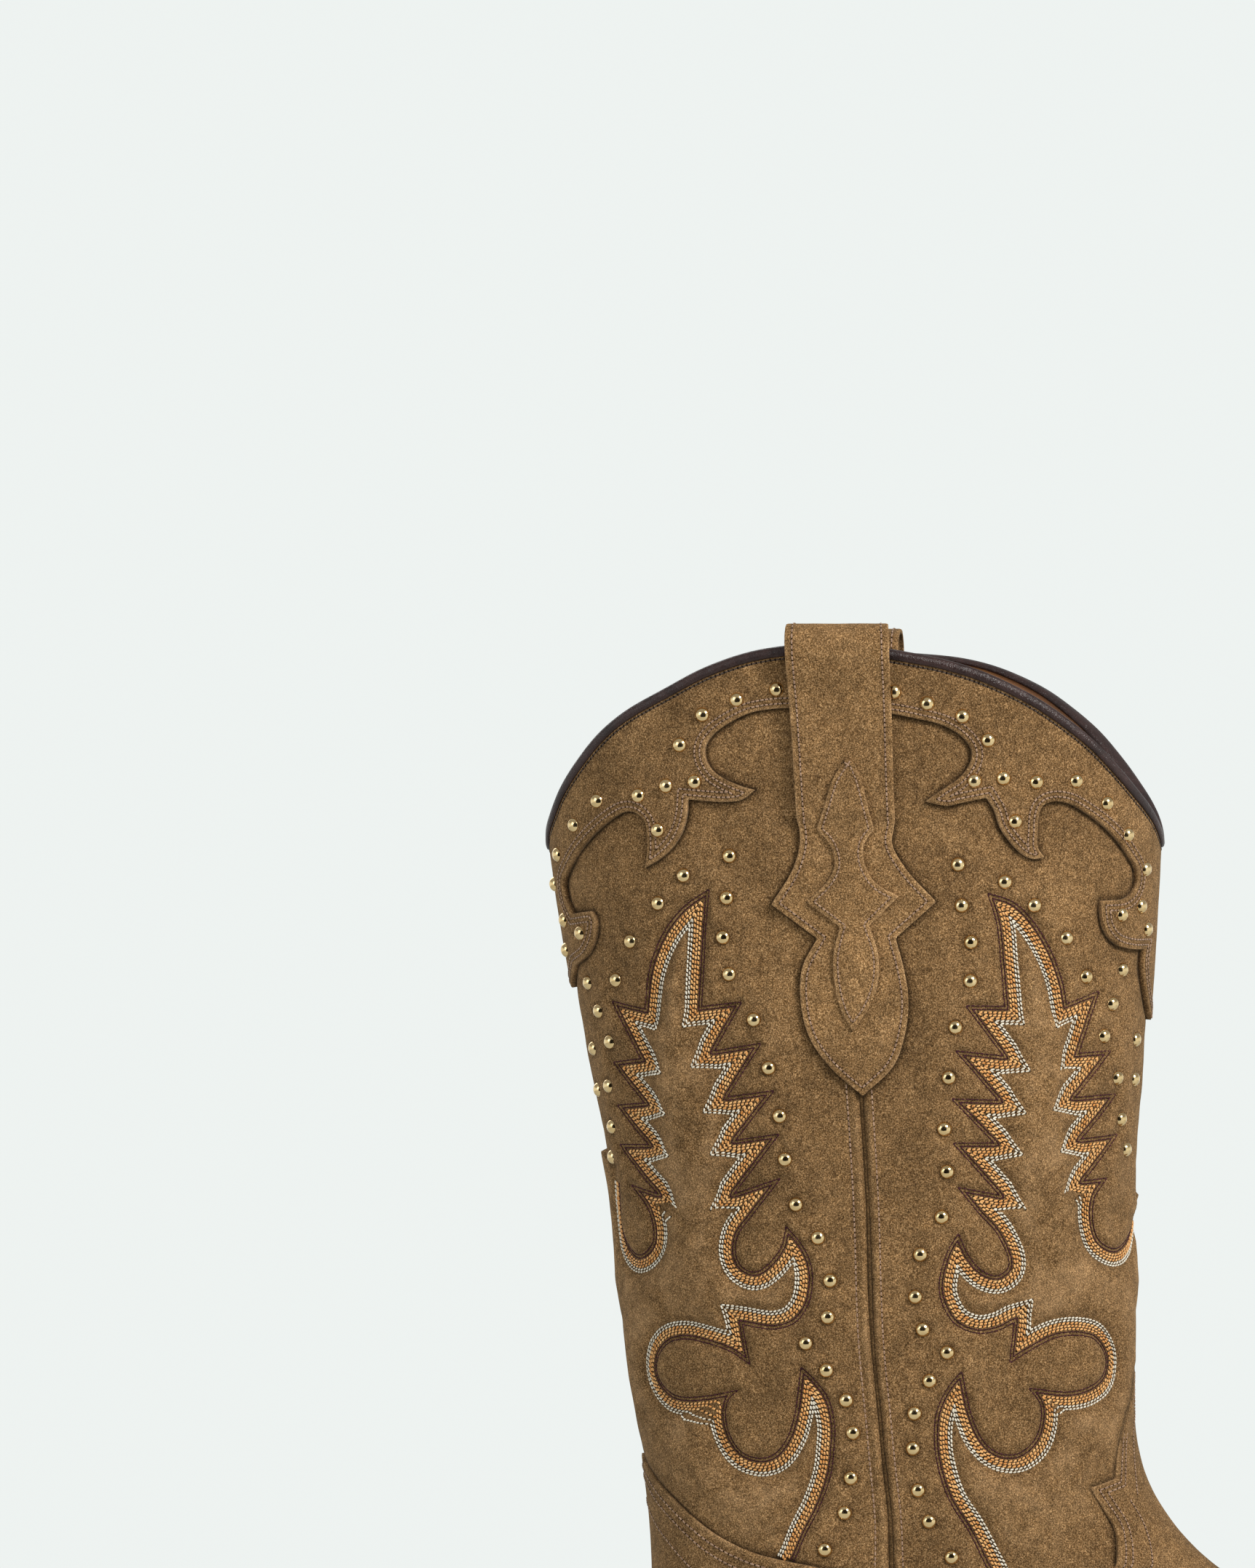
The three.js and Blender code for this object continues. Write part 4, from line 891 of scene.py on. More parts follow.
class Thread:
    """Gathers stitches of one colour, and the needle holes between them as dark discs of painted shade."""

    def __init__(self):
        self.V, self.n = [], 0
        self.H = []

    def row(self, path, mapf, height, pitch=1.4, length=1.05, width=0.5, thick=0.34, keep=None, slant=0.0, holes=True, sink=0.06, hole=0.25):
        d = np.concatenate([[0], np.cumsum(np.linalg.norm(np.diff(path, axis=0), axis=1))])
        n = int(d[-1] / pitch)
        if n < 1:
            return
        p = d[-1] / n
        s = (np.arange(n) + 0.5) * p

        def at(q):
            return np.stack([np.interp(q, d, path[:, 0]), np.interp(q, d, path[:, 1])], -1)
        M = at(s)
        if keep is not None:
            k = keep(M)
            s, M = s[k], M[k]
            if not len(s):
                return
        hw = length / 2 * (p / pitch)
        P0, P1, pit = at(s - hw), at(s + hw), at(s + p / 2)
        hm = height(M) if callable(height) else np.full(len(M), float(height))
        hh = height(pit) if callable(height) else np.full(len(M), float(height))
        A0, A1, C = mapf(P0, hm), mapf(P1, hm), mapf(M, hm)
        C2 = mapf(M, hm + 1.0)
        N = C2 - C
        N /= np.linalg.norm(N, axis=1, keepdims=True)
        X = A1 - A0
        X -= N * np.sum(X * N, 1, keepdims=True)
        L = np.linalg.norm(X, axis=1, keepdims=True)
        X /= np.maximum(L, 1e-9)
        Y = np.cross(N, X)
        j = RNG.normal(0, 1, (len(s), 4))
        ang = (slant + 0.045 * j[:, 0])[:, None]
        X2, Y2 = X * np.cos(ang) + Y * np.sin(ang), -X * np.sin(ang) + Y * np.cos(ang)
        Ls = L * (1 + 0.04 * j[:, 1:2])
        W = width * (1 + 0.06 * j[:, 2:3])
        V = (C[:, None, :] + GRAIN[None, :, 0:1] * (X2 * Ls)[:, None, :] + GRAIN[None, :, 1:2] * (Y2 * W)[:, None, :]
             + (GRAIN[None, :, 2:3] * thick * 2 * 0.5 + (thick * 0.5 - sink)) * N[:, None, :])
        self.V.append(V.reshape(-1, 3))
        self.n += len(s)
        # each needle hole is a flat dark disc: painted shade inside the hole
        if holes:
            Ch = mapf(pit, hh + 0.05)
            r = hole
            q = np.arange(6) / 6 * 2 * math.pi
            Hd = Ch[:, None, :] + r * (np.cos(q)[None, :, None] * X[:, None, :] * 0.9 + np.sin(q)[None, :, None] * Y[:, None, :])
            self.H.append(np.concatenate([Hd, (Ch - 0.02 * N)[:, None, :]], 1).reshape(-1, 3))

    def mesh(self, name):
        V = np.concatenate(self.V)
        k = np.arange(self.n)[:, None, None] * 30
        return build(name, V, (GQ[None] + k).reshape(-1, 4), (GT[None] + k).reshape(-1, 3))

    def holes_mesh(self, name):
        V = np.concatenate(self.H)
        n = len(V) // 7
        F = np.array([(6, j, (j + 1) % 6) for j in range(6)])
        return build(name, V, None, (F[None] + np.arange(n)[:, None, None] * 7).reshape(-1, 3))


# ------------------------------------------------------------------ materials
MAT = {}


class Mat:
    """A small helper for building procedural materials."""

    def __init__(self, name, slot):
        self.m = bpy.data.materials.new(name)
        self.m.use_nodes = True
        self.t = self.m.node_tree
        self.t.nodes.clear()
        self.out = self.t.nodes.new("ShaderNodeOutputMaterial")
        self.b = self.t.nodes.new("ShaderNodeBsdfPrincipled")
        self.t.links.new(self.b.outputs[0], self.out.inputs[0])
        self.co = self.t.nodes.new("ShaderNodeTexCoord").outputs["Object"]
        MAT[name] = self.m

    def set(self, **k):
        for key, v in k.items():
            self.b.inputs[key.replace("_", " ")].default_value = v
        return self

    def link(self, a, b):
        self.t.links.new(a, b)

    def scaled(self, v):
        n = self.t.nodes.new("ShaderNodeMapping")
        n.inputs["Scale"].default_value = v
        self.link(self.co, n.inputs["Vector"])
        return n.outputs[0]

    def noise(self, scale, detail=2.0, rough=0.5, vec=None, distort=0.0):
        n = self.t.nodes.new("ShaderNodeTexNoise")
        n.inputs["Scale"].default_value = scale
        n.inputs["Detail"].default_value = detail
        n.inputs["Roughness"].default_value = rough
        n.inputs["Distortion"].default_value = distort
        self.link(vec or self.co, n.inputs["Vector"])
        return n.outputs["Fac"]

    def voronoi(self, scale, feature="DISTANCE_TO_EDGE", vec=None):
        n = self.t.nodes.new("ShaderNodeTexVoronoi")
        n.feature = feature
        n.inputs["Scale"].default_value = scale
        self.link(vec or self.co, n.inputs["Vector"])
        return n.outputs["Distance"]

    def ramp(self, fac, *stops):
        n = self.t.nodes.new("ShaderNodeValToRGB")
        e = n.color_ramp.elements
        while len(e) < len(stops):
            e.new(0.5)
        for q, (p, c) in zip(e, stops):
            q.position = p
            q.color = (c[0], c[1], c[2], 1) if hasattr(c, "__len__") else (c, c, c, 1)
        self.link(fac, n.inputs[0])
        return n.outputs[0]

    def maprange(self, fac, a, b, c, d):
        n = self.t.nodes.new("ShaderNodeMapRange")
        for k, v in zip(("From Min", "From Max", "To Min", "To Max"), (a, b, c, d)):
            n.inputs[k].default_value = v
        self.link(fac, n.inputs["Value"])
        return n.outputs[0]

    def math(self, op, a, b=None, c=None):
        n = self.t.nodes.new("ShaderNodeMath")
        n.operation = op
        for i, v in enumerate((a, b, c)):
            if v is None:
                continue
            if isinstance(v, (int, float)):
                n.inputs[i].default_value = v
            else:
                self.link(v, n.inputs[i])
        return n.outputs[0]

    def mix(self, fac, a, b, mode="MIX"):
        n = self.t.nodes.new("ShaderNodeMix")
        n.data_type = "RGBA"
        n.blend_type = mode
        for sock, v in ((n.inputs["Factor"], fac), (n.inputs[6], a), (n.inputs[7], b)):
            if isinstance(v, (int, float)):
                sock.default_value = v
            elif isinstance(v, tuple):
                sock.default_value = (*v, 1)
            else:
                self.link(v, sock)
        return n.outputs[2]

    def grey(self, v):
        n = self.t.nodes.new("ShaderNodeCombineColor")
        for i in range(3):
            self.link(v, n.inputs[i])
        return n.outputs[0]

    def attr(self, name):
        n = self.t.nodes.new("ShaderNodeAttribute")
        n.attribute_type = "GEOMETRY"
        n.attribute_name = name
        return n.outputs["Fac"]

    def bump(self, *layers):
        last = None
        for h, strength, dist in layers:
            n = self.t.nodes.new("ShaderNodeBump")
            n.inputs["Strength"].default_value = strength
            n.inputs["Distance"].default_value = dist
            self.link(h, n.inputs["Height"])
            if last is not None:
                self.link(last, n.inputs["Normal"])
            last = n.outputs[0]
        self.link(last, self.b.inputs["Normal"])
        return self

    def color(self, c):
        self.link(c, self.b.inputs["Base Color"])
        return self


def suede(name, slot, dark, mid, light, toned=True):
    m = Mat(name, slot)
    nap = m.noise(2500, 2.5, 0.62)
    fleck = m.noise(5200, 1.0, 0.5, m.scaled((1.0, 1.0, 0.6)))
    clump = m.noise(440, 2.0, 0.55)
    blotch = m.noise(75, 3.0, 0.6, None, 0.6)
    patch_ = m.noise(21, 2.0, 0.5, None, 0.4)
    col = m.ramp(nap, (0.33, dark), (0.50, mid), (0.68, light))
    fl = m.maprange(fleck, 0.36, 0.66, 0.54, 1.44)
    cl = m.maprange(clump, 0.36, 0.64, 0.82, 1.18)
    bl = m.maprange(blotch, 0.32, 0.68, 0.86, 1.15)
    pt = m.maprange(patch_, 0.35, 0.65, 0.90, 1.10)
    k = m.math("MULTIPLY", m.math("MULTIPLY", m.math("MULTIPLY", fl, cl), bl), pt)
    if toned:
        # the tone attribute scales brightness: painted shade and highlight from the relief and edges, plus random nap
        tn = m.attr("tone_and_shade")
        up = m.math("MULTIPLY_ADD", tn, 0.42, 1.0)
        k = m.math("MULTIPLY", k, m.math("MAXIMUM", up, 0.22))
    c = m.mix(1.0, col, m.grey(k), "MULTIPLY")
    if toned:
        # above zero tone the blotches go to a lighter nap colour: brushed nap and cut edges, with painted highlight on
        # the puffs and seam ridges
        soft = m.math("MULTIPLY", m.math("MAXIMUM", tn, 0.0), m.maprange(blotch, 0.40, 0.62, 0.0, 0.8))
        c = m.mix(soft, c, m.mix(1.0, (light[0] * 1.25, light[1] * 1.30, light[2] * 1.45), m.grey(fl), "MULTIPLY"))
    m.color(c)
    m.set(Roughness=0.97, Sheen_Weight=0.16, Sheen_Roughness=0.5, Sheen_Tint=(0.90, 0.66, 0.42, 1), Specular_IOR_Level=0.08)
    m.bump((blotch, 0.4, 0.0008), (clump, 0.5, 0.0003), (nap, 0.8, 0.00026))
    return m


DK, MD, LT = (0.066, 0.0335, 0.0118), (0.172, 0.094, 0.0375), (0.36, 0.218, 0.102)
suede("suede", "suede", DK, MD, LT)
suede("strap_suede", "strap_suede", tuple(1.14 * c for c in DK), tuple(1.18 * c for c in MD), tuple(1.14 * c for c in LT))
suede("piping", "suede", (0.04, 0.021, 0.008), (0.085, 0.047, 0.019), (0.15, 0.09, 0.04), False)

m = Mat("lining", "lining_leather")
_n, _w = m.noise(55, 3, .55), m.voronoi(1500)
m.color(m.mix(m.maprange(_w, 0.0, 0.12, 0.35, 0.0), m.ramp(_n, (0.3, (0.27, 0.105, 0.034)), (0.7, (0.40, 0.175, 0.062))), (0.16, 0.06, 0.02)))
m.set(Roughness=0.5, Specular_IOR_Level=0.4)
m.bump((_w, 0.25, 0.00012), (m.noise(220, 3), 0.3, 0.0002))

m = Mat("binding", "binding_leather")
_n, _w = m.noise(160, 3, .6), m.voronoi(1900)
m.color(m.mix(m.maprange(_w, 0.0, 0.16, 0.55, 0.0), m.ramp(_n, (0.3, (0.018, 0.0075, 0.0065)), (0.7, (0.050, 0.022, 0.019))), (0.012, 0.006, 0.005)))
m.set(Roughness=0.38, Specular_IOR_Level=0.42)
m.bump((_w, 0.7, 0.00022), (m.noise(420, 3), 0.7, 0.00035))

m = Mat("brass", "brass_stud")
_n = m.noise(420, 2, .5)
m.color(m.ramp(_n, (0.3, (0.78, 0.55, 0.26)), (0.7, (0.90, 0.68, 0.37))))
m.set(Metallic=1.0)
m.link(m.maprange(_n, 0.3, 0.7, 0.10, 0.2), m.b.inputs["Roughness"])
m.bump((m.noise(900, 2), 0.12, 0.00006))


def thread(name, slot, a, b, rough=0.5):
    m = Mat(name, slot)
    w = m.t.nodes.new("ShaderNodeTexWave")
    w.wave_type, w.bands_direction = "BANDS", "DIAGONAL"
    w.inputs["Scale"].default_value = 1450
    w.inputs["Distortion"].default_value = 1.2
    m.link(m.co, w.inputs["Vector"])
    n = m.noise(700, 2, .6)
    c = m.ramp(n, (0.32, a), (0.68, b))
    m.color(m.mix(m.maprange(w.outputs["Fac"], 0.2, 0.8, 0.22, 0.0), c, tuple(0.35 * q for q in a)))
    m.set(Roughness=rough, Sheen_Weight=0.04 if name == "thread_dark" else 0.25, Sheen_Roughness=0.4, Specular_IOR_Level=0.12 if name == "thread_dark" else 0.35)
    m.bump((w.outputs["Fac"], 0.4, 0.00012))


thread("thread_orange", "thread_orange", (0.66, 0.255, 0.048), (0.98, 0.58, 0.23))
thread("thread_white", "thread_white", (0.66, 0.58, 0.45), (0.96, 0.90, 0.76))
thread("thread_dark", "thread_dark", (0.030, 0.006, 0.011), (0.085, 0.020, 0.032))
thread("thread_rose", "thread_rose", (0.25, 0.142, 0.083), (0.52, 0.33, 0.215))
thread("thread_seam", "thread_dark", (0.030, 0.018, 0.012), (0.075, 0.045, 0.032))

# near-black discs at the needle holes: painted shade inside each hole
m = Mat("needle_hole_shade", "thread_dark")
_n = m.noise(1500, 2)
m.color(m.ramp(_n, (0.3, (0.006, 0.004, 0.003)), (0.7, (0.022, 0.014, 0.008))))
m.set(Roughness=0.98, Specular_IOR_Level=0.05)
m.bump((_n, 0.3, 0.0001))


def sole(name, slot, a, b, layered=True):
    m = Mat(name, slot)
    n = m.noise(240, 4, .6, m.scaled((1, 1, 6)))
    g = m.noise(1400, 2, .6)
    c = m.ramp(n, (0.3, a), (0.7, b))
    if layered:
        w = m.t.nodes.new("ShaderNodeTexWave")
        w.wave_type, w.bands_direction = "BANDS", "Z"
        w.inputs["Scale"].default_value = 110
        w.inputs["Distortion"].default_value = 0.6
        w.inputs["Detail"].default_value = 2
        m.link(m.co, w.inputs["Vector"])
        c = m.mix(m.maprange(w.outputs["Fac"], 0.0, 0.35, 0.4, 0.0), c, tuple(0.4 * q for q in a))
    m.color(m.mix(m.maprange(g, 0.35, 0.5, 0.2, 0.0), c, tuple(0.5 * q for q in a)))
    m.set(Roughness=0.42, Specular_IOR_Level=0.45, Coat_Weight=0.12, Coat_Roughness=0.35)
    m.bump((n, 0.3, 0.0003), (g, 0.25, 0.00012))


sole("sole_leather", "sole_leather", (0.10, 0.040, 0.014), (0.19, 0.085, 0.034), False)
sole("heel_stack", "sole_leather", (0.085, 0.033, 0.012), (0.17, 0.075, 0.030), True)
sole("welt", "welt_leather", (0.16, 0.075, 0.030), (0.30, 0.155, 0.070), False)

m = Mat("rubber", "heel_rubber")
_n = m.noise(900, 3)
m.color(m.ramp(_n, (0.3, (0.012, 0.011, 0.010)), (0.7, (0.034, 0.031, 0.028))))
m.set(Roughness=0.75)
m.bump((_n, 0.3, 0.00015), (m.voronoi(500), 0.2, 0.0001))

m = Mat("board", "fibre_board")
_n = m.noise(900, 4, .65)
m.color(m.ramp(_n, (0.3, (0.26, 0.17, 0.085)), (0.7, (0.46, 0.32, 0.18))))
m.set(Roughness=0.85)
m.bump((_n, 0.35, 0.0002))

m = Mat("cork", "cork_filler")
_w = m.voronoi(420, "F1")
m.color(m.ramp(_w, (0.1, (0.42, 0.25, 0.11)), (0.5, (0.26, 0.14, 0.055)), (0.8, (0.12, 0.06, 0.025))))
m.set(Roughness=0.9)
m.bump((_w, 0.4, 0.0004))

m = Mat("steel", "steel")
_n = m.noise(300, 3, .6, m.scaled((1, 14, 14)))
m.color(m.ramp(_n, (0.3, (0.42, 0.42, 0.43)), (0.7, (0.62, 0.62, 0.63))))
m.set(Metallic=1.0)
m.link(m.maprange(_n, 0.3, 0.7, 0.28, 0.45), m.b.inputs["Roughness"])
m.bump((_n, 0.2, 0.00005))


# ------------------------------------------------------------------ shaft panels
shaft_panel("front_panel_suede", "front", ["shaft_front_panel"])
shaft_panel("back_panel_suede", "back", ["shaft_back_panel"])

# ------------------------------------------------------------------ collar overlays
COLLAR_LOOP = {}
for which in ("front", "back"):
    f = which == "front"
    E = EDGE["collar_" + which]
    chain = np.vstack([E[0]] + [e[1:] for e in E[1:]])
    other = mirror(chain, f)[::-1][1:]
    bb = np.linspace(other[-1, 0], chain[0, 0], 300)
    top = np.stack([bb, z_top(bb) - 0.5], -1)
    loop = np.vstack([chain, other, top])
    COLLAR_LOOP[which] = loop
    shown = np.vstack([densify(E), mirror(densify(E), f)])
    ob = patch("collar_" + which + "_suede", loop, map_bz, raw_edge(1.3, 0.2), -0.25, 0.95, shown, edge_tone_and_row_shade((1.2, 2.6)))
    finish_piece(ob, "suede", "shaft", ["collar_overlay_" + which])

# ------------------------------------------------------------------ topline binding
BIND = np.array([(-2.15, 1.45), (-2.12, 1.86), (-1.8, 2.18), (-1.1, 2.36), (-0.3, 2.26), (0.3, 1.80), (0.62, 0.9), (0.70, -0.4), (0.62, -1.9), (0.35, -2.75),
                 (0.05, -3.1), (-0.3, -3.25), (-0.7, -3.2), (-1.0, -3.0), (-1.05, -2.72), (-0.8, -2.66), (-0.5, -2.6), (-0.5, 1.3), (-1.5, 1.42)])


def sweep(path, section, mapf, name):
    g = np.gradient(path, axis=0)
    g /= np.linalg.norm(g, axis=1, keepdims=True)
    up = np.stack([-g[:, 1], g[:, 0]], -1)
    rows = []
    for q, n in section:
        rows.append(mapf(path + up * q, np.full(len(path), n)))
    R = np.stack(rows, 1)
    nr, nc = R.shape[:2]
    F = grid_faces(nr, nc, close=True)
    V = R.reshape(-1, 3)
    c0, c1 = R[0].mean(0), R[-1].mean(0)
    k = len(V)
    V = np.vstack([V, [c0], [c1]])
    T = [((j + 1) % nc, j, k) for j in range(nc)] + [((nr - 1) * nc + j, (nr - 1) * nc + (j + 1) % nc, k + 1) for j in range(nc)]
    return build(name, V, F[:, ::-1], np.array(T)[:, ::-1])


for which in ("front", "back"):
    f = which == "front"
    bb = np.linspace(0.25, 2 * FRONT_B - 0.25, 900) if f else np.linspace(-2 * FRONT_B + 0.25, -0.25, 900)
    line = even(np.stack([bb, z_top(bb)], -1), 0.7)
    ob = sweep(line, BIND, map_bz, "binding_" + which + "_leather")
    finish_piece(ob, "binding", "shaft", ["topline_binding_" + which])

# ------------------------------------------------------------------ linings
for which in ("front", "back"):
    f = which == "front"
    B = np.linspace(0.1, 2 * FRONT_B - 0.1, 121) if f else np.linspace(-2 * FRONT_B + 0.1, -0.1, 121)
    zt = z_top(B) - 0.6
    fb = np.abs(fold(B)) / FRONT_B
    zb = np.full(len(B), 72.0) if f else 72 + 22 * fb
    u = np.linspace(0, 1, 141)[:, None]
    Z = zt + (zb - zt) * u
    G = np.stack([np.broadcast_to(B, Z.shape), Z], -1)
    w = 0.10 * wobble(G * 0.8, 5.0)
    V, F = closed_grid(map_bz(G, np.full(Z.shape, -1.65)), map_bz(G, -2.6 + w), flip=False)
    ob = build("lining_" + which + "_leather", V, F)
    finish_piece(ob, "lining", "blend", ["shaft_" + which + "_lining"])

# ------------------------------------------------------------------ pull straps with their flared ends, and the small inner piece
_sp = smooth([(1.95, 303), (2.0, 312), (2.1, 322), (2.8, 332), (4.6, 340), (5.4, 344.5), (4.9, 347.6), (2.8, 349.6), (0, 349.9), (-2.8, 349.6), (-5.6, 348), (-6.9, 343.5), (-6.2, 333), (-5.0, 318), (-4.8, 300)], 0.25)
_sl = 303 + np.concatenate([[0], np.cumsum(np.linalg.norm(np.diff(_sp, axis=0), axis=1))])
_sg = np.gradient(_sp, axis=0)
_sg /= np.linalg.norm(_sg, axis=1, keepdims=True)
S_END = float(_sl[-1])


def ramp3(z, a, b):
    u = np.clip((z - a) / (b - a), 0, 1)
    return u * u * (3 - 2 * u)


def map_strap(P, h=0.0, side=1):
    a, s = P[..., 0], P[..., 1]
    h = np.broadcast_to(np.asarray(h, float), s.shape)
    low = s <= 303
    n0 = np.where(low, 0.3 + 1.65 * ramp3(s, 296, 303), np.interp(s, _sl, _sp[:, 0]))
    z0 = np.where(low, s, np.interp(s, _sl, _sp[:, 1]))
    tn, tz = np.interp(s, _sl, _sg[:, 0]), np.interp(s, _sl, _sg[:, 1])
    nn, nz = np.where(low, 1.0, tz), np.where(low, 0.0, -tn)
    return map_az(np.stack([a, z0 + h * nz], -1), n0 + h * nn, side)


def flare_chain():
    out = [FLARE_PIECES[0]]
    for p in FLARE_PIECES[1:]:
        out.append(p[1:])
    return np.vstack(out)


_fl = flare_chain()
_right = smooth([(12.7, 299.0), (12.4, 313), (12.1, 327.3), (11.4, 345), (11.1, S_END - 40), (11.1, S_END)], 0.7)
_left = smooth([(-15.3, S_END), (-15.3, S_END - 40), (-15.3, 345), (-14.3, 327.3), (-13.5, 313), (-12.9, 299.0)], 0.7)
STRAP_LOOP = np.vstack([_fl, _right[1:], _left, ])
_dm = np.vstack([DIAMOND_PIECES[0]] + [p[1:] for p in DIAMOND_PIECES[1:]])[:-1]


def strap_tone_and_shade(P, d):
    # lighter cut edge (raw fibres), painted shade along the stitch row, random nap, and painted shadow on the strap
    # round the outside of the ornament
    return 0.44 * np.exp(-(d / 0.5) ** 2) - 0.28 * np.exp(-((d - 1.7) / 0.4) ** 2) + 0.15 * wobble(P * 1.2, 6.0) - 0.55 * np.exp(-(DN(P)[0] / 0.8) ** 2) * (~inside(P, _dm))


DN = Near(densify([np.vstack([_dm, _dm[:1]])]))
for tag, side in (("lateral", 1), ("medial", -1)):
    mf = (lambda s: (lambda P, h=0.0: map_strap(P, h, s)))(side)
    ob = patch("pull_strap_" + tag + "_suede", STRAP_LOOP[::1], mf, raw_edge(1.2, 0.0), 0.0, 0.95, None, strap_tone_and_shade)
    finish_piece(ob, "strap_suede", "shaft", ["pull_strap_" + tag])
    ob = patch("strap_ornament_" + tag + "_suede", _dm, mf, lambda P, d: 1.2 + 1.0 * np.interp(d, [0, 0.16, 0.45, 1.0, 2.2, 5], [0.62, 0.88, 0.98, 1.0, 1.25, 1.55]),
               1.05, 0.7, None, edge_tone_and_row_shade((1.3,)))
    finish_piece(ob, "strap_suede", "shaft", ["strap_diamond_" + tag])

# ------------------------------------------------------------------ vamp and counter
def chain(P):
    return np.vstack([P[0]] + [q[1:] for q in P[1:]])


_vt = chain(VAMP_TOP)
_vt[0, 0] = 0.0
_jz = np.linspace(96.5, float(bottom_z(7.2)) + 0.3, 60)
JV = xz_to_tv([(7.2, z) for z in _jz])
JC = xz_to_tv([(6.5, z) for z in _jz])
fore = SOLE_EDGE[SOLE_X > 7.3]
aft = SOLE_EDGE[SOLE_X < 6.4]
v_end = fore[-1, 1]
half = np.vstack([_vt, VAMP_LOW[1:], JV, fore, [[math.pi * 45, v_end + 0.2], [math.pi * 45, VMAX]]])
mh = half[::-1].copy()
mh[:, 0] *= -1
VAMP_LOOP = np.vstack([half, mh[:-1]])
shown = np.vstack([even(_vt, .35), even(VAMP_LOW, .35), even(JV, .35)])
shown = np.vstack([shown, shown * [-1, 1]])
ob = patch("vamp_suede", VAMP_LOOP, map_tv, raw_edge(1.25, 0.18), lambda P: np.full(len(P), -0.12), 1.75, shown, edge_tone_and_row_shade((1.9, 3.7)))
finish_piece(ob, "suede", "blend", ["vamp"])

lat = np.vstack([COUNTER_TOP])
lat[-1, 0] = math.pi * 45
mt = lat[::-1][1:].copy()
mt[:, 0] = 2 * math.pi * 45 - mt[:, 0]
low = np.vstack([aft, ])                       # heel end first
lowm = low[::-1].copy()
lowm[:, 0] = 2 * math.pi * 45 - lowm[:, 0]
jm = JC.copy()
jm[:, 0] = 2 * math.pi * 45 - jm[:, 0]
COUNTER_LOOP = np.vstack([lat, mt, jm, lowm, low, JC[::-1]])
shown = np.vstack([even(COUNTER_TOP, .35), even(JC, .35)])
shown = np.vstack([shown, np.stack([2 * math.pi * 45 - shown[:, 0], shown[:, 1]], -1)])
ob = patch("counter_suede", COUNTER_LOOP, map_tv, raw_edge(1.25, 0.18), lambda P: np.full(len(P), -0.12), 1.4, shown, edge_tone_and_row_shade((2.2, 4.2)))
finish_piece(ob, "suede", "blend", ["counter"])

# ------------------------------------------------------------------ side seam piping
_bead = [(0.5 * math.cos(q), -0.62 + 0.5 * math.sin(q)) for q in np.linspace(0, 2 * math.pi, 11)[:-1]]
for tag, side in (("lateral", 1), ("medial", -1)):
    line = np.stack([np.zeros(190), np.linspace(232, 97, 190)], -1)
    mf = (lambda s: (lambda P, h=0.0: map_az(P, h, s)))(side)
    ob = sweep(line, _bead, mf, "side_seam_" + tag + "_piping")
    finish_piece(ob, "piping", "blend", ["side_seam_piping_" + tag])

# ------------------------------------------------------------------ studs
_prof = [(1.86, -0.25), (1.88, 0.08), (1.80, 0.30), (1.62, 0.58), (1.34, 0.88), (0.98, 1.12), (0.56, 1.27), (0.2, 1.325)]
_q = np.arange(24) / 24 * 2 * math.pi
DOME = np.array([(r * math.cos(a), r * math.sin(a), h) for r, h in _prof for a in _q] + [(0, 0, 1.33)]) * [1.06, 1.06, 1.06]
DQ = grid_faces(len(_prof), 24, close=True)
DT = np.array([(7 * 24 + j, 7 * 24 + (j + 1) % 24, 192) for j in range(24)])


def panel_height(which):
    return lambda P: relief(np.asarray(P), which) + 0.02


def studs(name, P, which, on_collar, sides, nodes):
    Vs = []
    h = np.full(len(P), 1.46) if on_collar else relief(P, which) + 0.10
    for side in sides:
        C, C2 = map_az(P, h, side), map_az(P, h + 1, side)
        N = (C2 - C) / np.linalg.norm(C2 - C, axis=1, keepdims=True)
        U = np.cross(N, [0, 0, 1.0])
        U /= np.linalg.norm(U, axis=1, keepdims=True)
        W = np.cross(N, U)
        tilt = RNG.normal(0, 0.035, (len(P), 2))
        N2 = N + U * tilt[:, :1] + W * tilt[:, 1:]
        N2 /= np.linalg.norm(N2, axis=1, keepdims=True)
        U = np.cross(W, N2)
        U /= np.linalg.norm(U, axis=1, keepdims=True)
        W = np.cross(N2, U)
        Vs.append((C[:, None] + DOME[None, :, 0:1] * U[:, None] + DOME[None, :, 1:2] * W[:, None] + DOME[None, :, 2:3] * N2[:, None]).reshape(-1, 3))
    V = np.concatenate(Vs)
    k = np.arange(len(V) // 193)[:, None, None] * 193
    ob = build(name, V, (DQ[None] + k).reshape(-1, 4), (DT[None] + k).reshape(-1, 3))
    finish_piece(ob, "brass", "blend", nodes)


for which in ("front", "back"):
    studs("studs_collar_" + which, STUDS["studs_collar_" + which], which, True, (1, -1), ["collar_studs_" + which])
    for tag, side in (("lateral", 1), ("medial", -1)):
        studs("studs_panel_" + which + "_" + tag, STUDS["studs_panel_" + which], which, False, (side,), ["panel_studs_" + which + "_" + tag])

# ------------------------------------------------------------------ embroidery
VAMP_AZ_POLY = np.vstack([tv_to_az(_vt), tv_to_az(VAMP_LOW), [(0, 60), (140, 60), (140, 152)]])
COUNTER_AZ = tv_to_az(COUNTER_TOP)
COUNTER_AZ = COUNTER_AZ[np.argsort(COUNTER_AZ[:, 0])]


def free_of_foot(which):
    if which == "front":
        return lambda P: ~inside(P, VAMP_AZ_POLY) & (P[:, 1] > 90)
    return lambda P: P[:, 1] > np.interp(P[:, 0], COUNTER_AZ[:, 0], COUNTER_AZ[:, 1]) + 0.2


